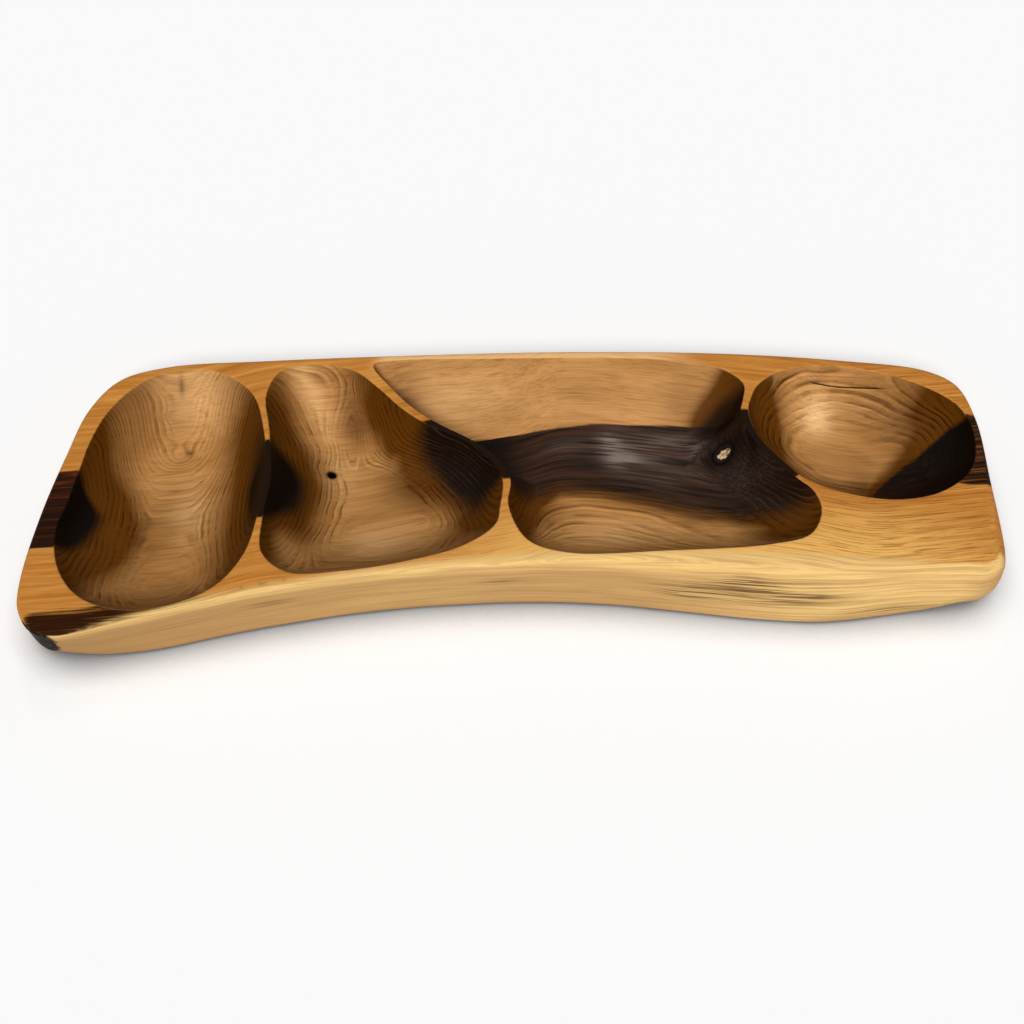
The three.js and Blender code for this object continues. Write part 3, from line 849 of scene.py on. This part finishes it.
# Sapwood, stains, burn and bark of the live edge, and painted shade on it. The sapwood's value is the
# distance in from its outline
sapWidth = between(liveEdge["sapReach"], x)
onTop = sapWidth - fromEdge - liveEdge["sapLoss"] * ease(*liveEdge["sapNone"], sapWidth)
onTop = onTop - liveEdge["hollowLoss"] * inHollow
onSide = ease(*liveEdge["sideFacing"], live) * ease(*liveEdge["sideBelow"], down)
onSide = liveEdge["sideSap"] * (2 * onSide - 1)
storeValue(dishMesh, "sap", np.clip(np.maximum(onTop, onSide), -liveEdge["sapMost"], liveEdge["sapMost"]))
# Painted shade on the live edge: at its foot on the right, and darker downwards from the top edge
foot = liveEdge["footShade"] * ease(*liveEdge["footUnder"], z) * ease(*liveEdge["footFrom"], x)
shaded = between(liveEdge["shade"], x) * ease(*liveEdge["shadeBelow"], down)
storeValue(dishMesh, "edgeShade", np.maximum(shaded, foot))
storeValue(dishMesh, "stain", live * np.clip(touches(liveEdge["stains"], x, z), 0, 1))
scorch = ease(*liveEdge["burnSoft"], between(liveEdge["burnWidth"], x) - fromEdge)
scorch = scorch * ease(*liveEdge["burnLeft"], x)
seam = liveEdge["seam"]
seamEnds = ease(*seam["left"], x) * ease(*seam["right"], x)
seamLine = seam["amount"] * bump(fromEdge - seam["away"], seam["width"]) * seamEnds
nearTop = (1 - inHollow) * ease(*liveEdge["burnBelow"], down)
storeValue(dishMesh, "burn", nearTop * np.maximum(scorch, seamLine))
barkAmount = np.clip(touches([liveEdge["bark"]], x, y), 0, 1)
storeValue(dishMesh, "bark", ease(*liveEdge["barkBelow"], down) * barkAmount)

# Tones of the flat top
onFlat = (1 - inHollow) * ease(*flatTop["below"], down)
gold, paleBack = flatTop["gold"], flatTop["pale"]
goldAlong = ease(*gold["left"], x) * ease(*gold["right"], x)
storeValue(dishMesh, "frontGold", onFlat * ease(*gold["fromEdge"], fromEdge) * goldAlong)
paleAlong = ease(*paleBack["left"], x) * ease(*paleBack["right"], x)
storeValue(dishMesh, "backTan", onFlat * ease(*paleBack["behind"], y) * paleAlong)
storeValue(dishMesh, "right", ease(*flatTop["streaky"], x))
print("dish: wood worked out")


# Light values of a colour given as it shows on screen, 0 to 255
def paint(red, green, blue):
    c = np.array([red, green, blue]) / 255
    c = np.where(c <= 0.04045, c / 12.92, ((c + 0.055) / 1.055) ** 2.4)
    return (*c.tolist(), 1.0)


# Makes a node, sets its options and fills its inputs with values or other nodes' outputs
def addNode(tree, kind, inputs, **options):
    made = tree.nodes.new(kind)
    for name, option in options.items():
        setattr(made, name, option)
    for socket, value in inputs.items():
        if isinstance(value, bpy.types.NodeSocket):
            tree.links.new(value, made.inputs[socket])
        else:
            made.inputs[socket].default_value = value
    return made


# One sum on numbers
def calc(tree, operation, *values):
    return addNode(tree, "ShaderNodeMath", dict(enumerate(values)), operation=operation).outputs[0]


# One sum on vectors; LENGTH gives a number
def vectorCalc(tree, operation, *values):
    made = addNode(tree, "ShaderNodeVectorMath", dict(enumerate(values)), operation=operation)
    return made.outputs["Value" if operation == "LENGTH" else "Vector"]


# A value spread from low..high to 0..1 with soft ends
def spread(tree, value, low, high):
    inputs = {"Value": value, "From Min": low, "From Max": high}
    return addNode(tree, "ShaderNodeMapRange", inputs, interpolation_type="SMOOTHSTEP").outputs[0]


# The second colour over the first, by an amount
def mixColour(tree, amount, first, second, blend="MIX"):
    inputs = {0: amount, 6: first, 7: second}
    return addNode(tree, "ShaderNodeMix", inputs, data_type="RGBA", blend_type=blend).outputs[2]


# A value stored on the mesh
def attribute(tree, name, output="Fac"):
    return addNode(tree, "ShaderNodeAttribute", {}, attribute_name=name).outputs[output]


# An empty group with its sockets: inputs as (name, kind, default), outputs as names of numbers
def newGroup(name, inputs, outputs):
    tree = bpy.data.node_groups.new(name, "ShaderNodeTree")
    for socket, kind, default in inputs:
        made = tree.interface.new_socket(socket, in_out="INPUT", socket_type=kind)
        if default is not None:
            made.default_value = default
    for socket in outputs:
        tree.interface.new_socket(socket, in_out="OUTPUT", socket_type="NodeSocketFloat")
    return tree, tree.nodes.new("NodeGroupInput").outputs, tree.nodes.new("NodeGroupOutput")


# Places a shared group with its own values
def useGroup(tree, group, inputs):
    return addNode(tree, "ShaderNodeGroup", inputs, node_tree=group).outputs


# A material, its nodes and its shader
def newMaterial(name):
    material = bpy.data.materials.new(name)
    material.use_nodes = True
    tree = material.node_tree
    return material, tree, tree.nodes["Principled BSDF"]


# Puts an object into the scene
def addObject(name, data):
    made = bpy.data.objects.new(name, data)
    bpy.context.scene.collection.objects.link(made)
    return made


# Streaks that follow the fibres: noise on grain coordinates divided by the streaks' length and width
def fibreGroup():
    inputs = [
        ("Grain", "NodeSocketVector", None), ("Length", "NodeSocketFloat", 30.0),
        ("Width", "NodeSocketFloat", 1.0), ("Seed", "NodeSocketFloat", 0.0),
    ]
    tree, given, result = newGroup("fibreStreaks", inputs, ["Streak"])
    size = addNode(tree, "ShaderNodeCombineXYZ", {0: given["Length"], 1: given["Width"], 2: given["Width"]})
    scaled = vectorCalc(tree, "DIVIDE", given["Grain"], size.outputs[0])
    noise = {"Vector": scaled, "W": given["Seed"], "Scale": 1.0, "Detail": 3.0, "Roughness": 0.55}
    made = addNode(tree, "ShaderNodeTexNoise", noise, noise_dimensions="4D")
    tree.links.new(spread(tree, made.outputs[0], 0.28, 0.72), result.inputs["Streak"])
    return tree


ringLook = {
    "slow": {"size": (55, 22, 22), "seed": 3.0, "amount": 2.4},  # how the rings waver: mm, and rings
    "quick": {"size": (14, 6, 6), "seed": 8.0, "amount": 0.5},
    "bandRings": 4.0,  # rings to a band of wider or narrower ones
    "bandAmount": 1.6,
    "weakest": 0.25,
    "line": ((0.42, 0.82), (1.0, 0.88)),  # shares of a ring between which its lines come and go
    "flash": ((0.0, 0.1), (0.36, 0.12)),
}


# Growth rings: the count of rings from the pith, wavering a little, times a pace. Each ring ends in a dark
# line with a thin pale one after it, and no two rings are equally strong
def ringGroup():
    inputs = [
        ("Grain", "NodeSocketVector", None), ("Ring", "NodeSocketFloat", 0.0),
        ("Pace", "NodeSocketFloat", 1.0), ("Waver", "NodeSocketFloat", 1.0),
    ]
    tree, given, result = newGroup("growthRings", inputs, ["Line", "Flash"])

    def wave(look):
        scaled = vectorCalc(tree, "DIVIDE", given["Grain"], look["size"])
        noise = {"Vector": scaled, "W": look["seed"], "Scale": 1.0, "Detail": 0.5}
        made = addNode(tree, "ShaderNodeTexNoise", noise, noise_dimensions="4D")
        return calc(tree, "MULTIPLY", calc(tree, "SUBTRACT", made.outputs[0], 0.5), look["amount"])

    waves = calc(tree, "ADD", wave(ringLook["slow"]), wave(ringLook["quick"]))
    ring = calc(tree, "ADD", given["Ring"], calc(tree, "MULTIPLY", waves, given["Waver"]))
    band = {"W": calc(tree, "DIVIDE", ring, ringLook["bandRings"]), "Scale": 1.0}
    bands = addNode(tree, "ShaderNodeTexNoise", band, noise_dimensions="1D").outputs[0]
    ring = calc(tree, "ADD", ring, calc(tree, "MULTIPLY", bands, ringLook["bandAmount"]))
    turn = calc(tree, "MULTIPLY", ring, given["Pace"])
    rise = calc(tree, "FRACT", turn)
    chance = addNode(tree, "ShaderNodeTexWhiteNoise", {"W": calc(tree, "FLOOR", turn)}, noise_dimensions="1D")
    weakest = ringLook["weakest"]
    strength = calc(tree, "MULTIPLY_ADD", chance.outputs[0], 1 - weakest, weakest)
    for output in ("Line", "Flash"):
        comes, goes = ringLook[output.lower()]
        mark = calc(tree, "MULTIPLY", spread(tree, rise, *comes), spread(tree, rise, *goes))
        tree.links.new(calc(tree, "MULTIPLY", mark, strength), result.inputs[output])
    return tree


fibreStreaks = fibreGroup()
growthRings = ringGroup()

woodTones = {
    "honey": (180, 112, 42),
    "paleHoney": (222, 156, 76),
    "paleGold": (242, 186, 102),
    "tick": (150, 86, 28),
    "tan": (212, 156, 94),
    "brownTan": (173, 121, 65),
    "paleTan": (242, 194, 133),
    "brown": (92, 52, 8),
    "cream": (246, 204, 130),
    "creamShade": (178, 134, 84),
    "stain": (98, 72, 46),
    "burn": (44, 20, 4),
    "bark": (30, 21, 15),
    "fleck": (132, 114, 90),
    "heart": (12, 6, 3),
    "heartCrest": (30, 15, 6),
    "heartStreak": (66, 43, 30),
    "heartLine": (80, 60, 46),
    "heartRed": (106, 48, 20),
    "heartGold": (122, 72, 30),
    # tone of the painted sheen on the heart
    "paintedSheen": (128, 112, 104),
}
# What a dark and a pale ring line leave of the wood's colour, by which it is multiplied
lineTones = {"lateLine": (0.36, 0.29, 0.18, 1.0), "paleLine": (1.5, 1.5, 1.45, 1.0)}
# Streaks along the fibres: length and width in mm, and a seed
woodStreaks = {
    "comes": (24, 8, 31.0),
    "broad": (110, 3.2, 1.0),
    "strands": (70, 1.5, 21.0),
    "fine": (30, 0.7, 5.0),
    "ticks": (20, 0.6, 9.0),
    "patchy": (40, 16, 13.0),
    "weathered": (45, 0.8, 53.0),
    "swirl": (46, 2.4, 41.0),
    "sheen": (34, 1.1, 47.0),
}
# The dish's values that the wood reads
woodMasks = (
    "hollow", "endGrain", "sap", "brown", "pale", "black", "ring", "ringShow", "heart", "heartSoft",
    "edgeShade", "stain", "burn", "bark", "right", "paintedSheen", "bandRed", "bandGold", "frontGold", "backTan",
    "heartLight", "veins",
)
woodFinish = {
    "thinPace": 2.3,  # thin lines to a ring
    "raggedSap": 2.6,  # how far the sapwood's outline follows the fibres, mm
    "roughness": 0.56,
    "roughFibres": 0.1,
    "hollowPolish": -0.12,
    "heartPolish": -0.1,
    "specular": 0.04,
    "fibreHeight": 0.6,
    "lineHeight": -0.25,
    "reliefDepth": 0.0001,  # metres
    "relief": 0.5,
    "fleckScale": 0.35,
}


# The dish's wood: tones of the top, the hollows, the sapwood, the heart and the bark, each laid over the last
def makeOiledWood():
    material, tree, shader = newMaterial("oiledWood")
    tone = {name: paint(*rgb) for name, rgb in woodTones.items()}
    tone.update(lineTones)

    def times(value, factor):
        return calc(tree, "MULTIPLY", value, factor)

    # A value times a factor, plus an offset
    def shifted(value, factor, offset):
        return calc(tree, "MULTIPLY_ADD", value, factor, offset)

    def soft(value, low, high):
        return spread(tree, value, low, high)

    # Tones laid over a colour one after another: mask, how much of it, tone
    def layered(colour, layers):
        for where, amount, name in layers:
            blend = "MULTIPLY" if name in lineTones else "MIX"
            colour = mixColour(tree, times(where, amount), colour, tone[name], blend)
        return colour

    mask = {name: attribute(tree, name) for name in woodMasks}
    grain = attribute(tree, "grain", "Vector")
    streak = {}
    for name, (length, width, seed) in woodStreaks.items():
        inputs = {"Grain": grain, "Length": length, "Width": width, "Seed": seed}
        streak[name] = useGroup(tree, fibreStreaks, inputs)["Streak"]
    inHollow, toRight, black = mask["hollow"], mask["right"], mask["black"]
    lengthwise = calc(tree, "SUBTRACT", 1.0, mask["endGrain"])
    broad, strands = streak["broad"], streak["strands"]
    fine, ticks = [times(streak[name], lengthwise) for name in ("fine", "ticks")]
    rings = useGroup(tree, growthRings, {"Grain": grain, "Ring": mask["ring"]})
    thin = useGroup(tree, growthRings, {"Grain": grain, "Ring": mask["ring"], "Pace": woodFinish["thinPace"]})
    ringShow = times(mask["ringShow"], shifted(soft(streak["comes"], 0.2, 0.8), 0.75, 0.25))
    line, flash, thinLine = [times(mark, ringShow) for mark in (rings["Line"], rings["Flash"], thin["Line"])]

    evened = shifted(calc(tree, "SUBTRACT", broad, 0.4), lengthwise, 0.4)
    charred = calc(tree, "ADD", times(strands, 0.6), times(fine, 0.4))
    topTone = layered(tone["honey"], [
        (evened, 1.0, "paleHoney"),
        (fine, 0.4, "honey"),
        (mask["frontGold"], 0.95, "paleGold"),
        (mask["backTan"], 0.8, "paleTan"),
        (soft(ticks, 0.5, 0.95), shifted(toRight, 0.5, 0.35), "tick"),
        (times(soft(strands, 0.5, 0.95), toRight), 0.35, "tick"),
        (line, shifted(mask["endGrain"], 0.4, 0.2), "lateLine"),
        (soft(shifted(mask["burn"], 0.95, charred), 0.7, 1.35), 1.0, "burn"),
    ])
    hollowTone = layered(tone["tan"], [
        (streak["patchy"], 0.7, "brownTan"),
        (broad, 0.5, "brownTan"),
        # pale holds painted highlights as well as pale wood, brown holds painted shade as well as brown wood
        (mask["pale"], 1.0, "paleTan"),
        (mask["brown"], 1.0, "brown"),
        (line, 0.95, "lateLine"),
        (thinLine, 0.5, "lateLine"),
        (flash, 0.7, "paleLine"),
        (soft(ticks, 0.45, 0.9), 0.28, "lateLine"),
        (soft(strands, 0.45, 0.9), times(lengthwise, 0.2), "lateLine"),
        (black, 1.0, "heart"),
    ])
    wood = mixColour(tree, inHollow, topTone, hollowTone)

    weathered = soft(streak["weathered"], 0.4, 0.75)
    sapTone = layered(tone["cream"], [
        # painted shade on the live edge, darker lower down and at the left
        (mask["edgeShade"], 1.0, "creamShade"),
        (broad, 0.3, "creamShade"),
        (soft(strands, 0.45, 0.85), 0.42, "creamShade"),
        (soft(fine, 0.45, 0.9), 0.3, "creamShade"),
        (mask["stain"], shifted(weathered, 0.85, 0.08), "stain"),
    ])
    ragged = calc(tree, "SUBTRACT", fine, 0.5)
    reach = woodFinish["raggedSap"]
    wood = mixColour(tree, soft(shifted(ragged, reach, mask["sap"]), -reach, reach), wood, sapTone)

    frayed = times(times(ragged, lengthwise), shifted(inHollow, times(mask["heartSoft"], 0.9), 0.25))
    share = calc(tree, "DIVIDE", calc(tree, "ADD", mask["heart"], frayed), mask["heartSoft"])
    heartMask = soft(share, -1.0, 1.0)
    banded = times(soft(strands, 0.3, 0.75), shifted(soft(broad, 0.3, 0.7), 0.75, 0.25))
    banded = times(banded, lengthwise)
    heartTop = layered(tone["heartCrest"], [
        (banded, mask["bandRed"], "heartRed"),
        (banded, mask["bandGold"], "heartGold"),
        (soft(ticks, 0.4, 0.8), 0.5, "heart"),
    ])
    swirl = shifted(calc(tree, "SUBTRACT", streak["swirl"], 0.5), lengthwise, 0.45)
    lit = times(shifted(swirl, 0.9, 0.05), mask["heartLight"])
    lit = calc(tree, "MAXIMUM", lit, times(times(strands, broad), times(lengthwise, 0.35)))
    sheen = soft(streak["sheen"], 0.25, 0.8)
    heartIn = layered(tone["heart"], [
        (lit, 1.0, "heartStreak"),
        # painted sheen: grey reflection laid over the heart in streaks
        (mask["paintedSheen"], shifted(sheen, 0.85, 0.15), "paintedSheen"),
        (line, 0.6, "lateLine"),
        (flash, mask["veins"], "heartLine"),
        (black, 1.0, "heart"),
    ])
    wood = mixColour(tree, heartMask, wood, mixColour(tree, inHollow, heartTop, heartIn))

    noise = {"Vector": grain, "Scale": woodFinish["fleckScale"], "Detail": 3.0}
    flecks = addNode(tree, "ShaderNodeTexNoise", noise).outputs[0]
    barkTone = layered(tone["bark"], [(soft(flecks, 0.52, 0.75), 0.35, "fleck")])
    wood = mixColour(tree, soft(shifted(flecks, 0.6, mask["bark"]), 0.75, 1.0), wood, barkTone)

    tree.links.new(wood, shader.inputs["Base Color"])
    rough = shifted(fine, woodFinish["roughFibres"], woodFinish["roughness"])
    rough = shifted(inHollow, woodFinish["hollowPolish"], rough)
    rough = shifted(times(heartMask, inHollow), woodFinish["heartPolish"], rough)
    tree.links.new(rough, shader.inputs["Roughness"])
    shader.inputs["Specular IOR Level"].default_value = woodFinish["specular"]
    height = calc(tree, "ADD", times(fine, woodFinish["fibreHeight"]), times(line, woodFinish["lineHeight"]))
    bumps = {"Height": height, "Distance": woodFinish["reliefDepth"], "Strength": woodFinish["relief"]}
    tree.links.new(addNode(tree, "ShaderNodeBump", bumps).outputs[0], shader.inputs["Normal"])
    return material


dishMesh.materials.append(makeOiledWood())
dish = addObject("dish", dishMesh)
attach(dish, "root")
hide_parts("slab")
print("dish: made")

knotPlug = {
    "radius": 4.65,
    "rise": 0.1,  # height of its dome, mm
    "edgeDrop": 0.1,  # how far its outermost tenth turns down
    "edgeFrom": 0.9,
    "sides": 72,
    "rings": 16,
    "foot": 3.0,  # how far it goes down into its seat
    "fitReach": 9.0,  # how far round it the hollow's surface is followed
    "wobble": [(0.02, 2, 0.6), (0.015, 5, 0.0)],  # waves of its outline: share, number round it, turn
    "rough": [(0.05, 3, 5), (0.04, 7, -9)],  # and of its face: mm, number round it, twist outwards
    "body": (30, 21, 16),
    "line": (12, 8, 6),
    "ringPace": 1.3,  # rings to a mm
    "waver": 0.3,
    "rim": (3.6, 4.4),  # radii between which it turns to the tone of its lines
    "chip": (214, 192, 154),
    "chipShade": (150, 112, 70),
    "chipAt": (0.5, -0.6, 0),
    "chipSquash": (0.36, 0.5, 0),
    "chipTorn": 1.4,  # how ragged its outline is
    "chipEdge": (1.75, 1.45),
    "roughness": 0.55,
    "specular": 0.04,
}


# The knot as rings: a second-degree surface fitted to the hollow round its seat, plus a low cosine dome and
# small waves, over a wavering circle. Its skirt goes straight down from the last ring
def makeKnot():
    near = (fromKnot(xy) < knotPlug["fitReach"]) & (restPoints[:, 2] > aboveBase)
    u, v = (xy[near] - np.array(knotSeat["at"])).T
    basis = np.stack([np.ones_like(u), u, v, u * u, u * v, v * v], 1)
    fit = np.linalg.lstsq(basis, restPoints[near, 2], rcond=None)[0]
    share = np.linspace(0, 1, knotPlug["rings"] + 1)[1:, None]
    turn = np.linspace(0, 2 * np.pi, knotPlug["sides"], endpoint=False)[None, :]
    wobble = 1 + sum(amount * np.sin(number * turn + start) for amount, number, start in knotPlug["wobble"])
    u = knotPlug["radius"] * share * np.cos(turn) * wobble
    v = knotPlug["radius"] * share * np.sin(turn) * wobble
    base = fit[0] + fit[1] * u + fit[2] * v + fit[3] * u * u + fit[4] * u * v + fit[5] * v * v
    dome = knotPlug["rise"] * np.cos(share * np.pi / 2)
    dome = dome - knotPlug["edgeDrop"] * ease(knotPlug["edgeFrom"], 1.0, share)
    waves = [height * np.sin(number * turn + twist * share) for height, number, twist in knotPlug["rough"]]
    cap = np.stack([u + knotSeat["at"][0], v + knotSeat["at"][1], base + dome + sum(waves) * share], -1)
    skirt = cap[-1:].copy()
    skirt[..., 2] -= knotPlug["foot"]
    rings = np.concatenate([cap, skirt])[::-1]
    n = knotPlug["sides"]
    points = rings.reshape(-1, 3)
    pole = np.array([[*knotSeat["at"], fit[0] + knotPlug["rise"]]])
    foot = np.array([[*knotSeat["at"], rings[0, :, 2].mean()]])
    quads = ringFaces(len(rings), n, 0).tolist()
    i = np.arange(n)
    last = (len(rings) - 1) * n
    cone = np.stack([last + i, last + (i + 1) % n, np.full(n, len(points))], 1).tolist()
    under = np.stack([(i + 1) % n, i, np.full(n, len(points) + 1)], 1).tolist()
    mesh = bpy.data.meshes.new("knotPlug")
    mesh.from_pydata((np.vstack([points, pole, foot]) * mm).tolist(), [], quads + cone + under)
    mesh.update()
    mesh.polygons.foreach_set("use_smooth", np.ones(len(mesh.polygons), bool))
    return mesh


# Dark rings round the knot's middle, with a torn pale chip beside it
def makeKnotWood():
    material, tree, shader = newMaterial("knotWood")
    tone = {name: paint(*knotPlug[name]) for name in ("body", "line", "chip", "chipShade")}
    place = addNode(tree, "ShaderNodeTexCoord", {}).outputs["Object"]
    centre = tuple(-v for v in (*knotSeat["at"], 0.0))
    grain = vectorCalc(tree, "MULTIPLY_ADD", place, (1 / mm, 1 / mm, 1 / mm), centre)
    flat = vectorCalc(tree, "MULTIPLY", grain, (1, 1, 0))
    radius = vectorCalc(tree, "LENGTH", flat)
    turns = calc(tree, "MULTIPLY", radius, knotPlug["ringPace"])
    rings = useGroup(tree, growthRings, {"Grain": flat, "Ring": turns, "Waver": knotPlug["waver"]})
    body = mixColour(tree, rings["Line"], tone["body"], tone["line"])
    spot = vectorCalc(tree, "SUBTRACT", flat, knotPlug["chipAt"])
    spot = vectorCalc(tree, "MULTIPLY", spot, knotPlug["chipSquash"])
    torn = addNode(tree, "ShaderNodeTexNoise", {"Vector": flat, "Scale": 0.7, "Detail": 3.0}).outputs[0]
    reach = calc(tree, "MULTIPLY_ADD", torn, knotPlug["chipTorn"], vectorCalc(tree, "LENGTH", spot))
    chip = mixColour(tree, spread(tree, torn, 0.4, 0.62), tone["chip"], tone["chipShade"])
    body = mixColour(tree, spread(tree, reach, *knotPlug["chipEdge"]), body, chip)
    body = mixColour(tree, spread(tree, radius, *knotPlug["rim"]), body, tone["line"])
    tree.links.new(body, shader.inputs["Base Color"])
    shader.inputs["Roughness"].default_value = knotPlug["roughness"]
    shader.inputs["Specular IOR Level"].default_value = knotPlug["specular"]
    return material


knotMesh = makeKnot()
knotMesh.materials.append(makeKnotWood())
knot = addObject("knotPlug", knotMesh)
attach(knot, "root")
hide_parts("knot")
print("knot: made")

stage = {
    "floorHalf": 6.0,  # metres
    "floorTone": (236, 236, 236),
    # painted contact shadow: the floor's colour close to the dish is darkened to this tone
    "shadowTone": (108, 108, 110),  # of the floor close to the dish
    "contact": 0.024,  # how far from the dish the floor darkens, metres
    "contactRange": (0.25, 0.92),  # shares of open sky between which it does
    "lift": 0.17,  # added to the floor where the camera sees it
    "world": 0.15,
    "key": {"strength": 2.9, "angle": 25, "towards": (-0.05, -0.57, 0.82)},
    "back": {"strength": 0.1, "angle": 8, "towards": (0.05, 0.5, 0.865)},
}


# 1 for rays that show the background: from the camera, from gloss and through glass
def seenRays(tree):
    path = addNode(tree, "ShaderNodeLightPath", {}).outputs
    direct = calc(tree, "MAXIMUM", path["Is Camera Ray"], path["Is Transmission Ray"])
    return calc(tree, "MAXIMUM", direct, path["Is Glossy Ray"])


# Floor: one flat face that keeps the shadow, its colour darkened near the dish by an occlusion test as a
# painted contact shadow; what the camera sees of it is lifted to white
def makeFloor():
    s = stage["floorHalf"]
    mesh = bpy.data.meshes.new("floor")
    mesh.from_pydata([(-s, -s, 0), (s, -s, 0), (s, s, 0), (-s, s, 0)], [], [(0, 1, 2, 3)])
    material, tree, shader = newMaterial("paleFloor")
    shader.inputs["Roughness"].default_value = 1.0
    shader.inputs["Specular IOR Level"].default_value = 0.0
    # the occlusion test paints the contact shadow into the floor's colour
    nearby = {"Distance": stage["contact"]}
    clearness = addNode(tree, "ShaderNodeAmbientOcclusion", nearby, samples=8).outputs["AO"]
    shade = spread(tree, clearness, *stage["contactRange"])
    tone = mixColour(tree, shade, paint(*stage["shadowTone"]), paint(*stage["floorTone"]))
    tree.links.new(tone, shader.inputs["Base Color"])
    shader.inputs["Emission Color"].default_value = (1, 1, 1, 1)
    lift = calc(tree, "MULTIPLY", calc(tree, "MULTIPLY", seenRays(tree), shade), stage["lift"])
    tree.links.new(lift, shader.inputs["Emission Strength"])
    mesh.materials.append(material)
    addObject("floor", mesh)


# A far soft lamp: the direction points from the dish towards the lamp
def addSun(name, lamp):
    data = bpy.data.lights.new(name, "SUN")
    data.energy = lamp["strength"]
    data.angle = np.radians(lamp["angle"])
    sun = addObject(name, data)
    sun.rotation_mode = "QUATERNION"
    sun.rotation_quaternion = Vector(lamp["towards"]).to_track_quat("Z", "Y")


# White where it is seen, and a weak fill light on the dish
def makeWorld():
    world = bpy.data.worlds.new("studio")
    world.use_nodes = True
    tree = world.node_tree
    background = tree.nodes["Background"]
    background.inputs["Color"].default_value = (1, 1, 1, 1)
    strengths = {0: seenRays(tree), 2: stage["world"], 3: 1.0}
    strength = addNode(tree, "ShaderNodeMix", strengths, data_type="FLOAT").outputs[0]
    tree.links.new(strength, background.inputs["Strength"])
    bpy.context.scene.world = world


# Lengths in mm, the elevation in degrees
camera = {"aim": (-2, -14.2, 36), "distance": 950, "elevation": 57, "lens": 72, "sensor": 36}


# The camera stands in front of the dish and looks down on it
def makeCamera():
    data = bpy.data.cameras.new("camera")
    data.lens = camera["lens"]
    data.sensor_width = camera["sensor"]
    rise = np.radians(camera["elevation"])
    away = Vector((0, -np.cos(rise), np.sin(rise)))
    made = addObject("camera", data)
    made.location = (Vector(camera["aim"]) + away * camera["distance"]) * mm
    made.rotation_mode = "QUATERNION"
    made.rotation_quaternion = away.to_track_quat("Z", "Y")
    bpy.context.scene.camera = made


makeFloor()
addSun("keyLamp", stage["key"])
addSun("backLamp", stage["back"])
makeWorld()
makeCamera()
bpy.context.scene.view_settings.view_transform = "Standard"
print("stage: set")
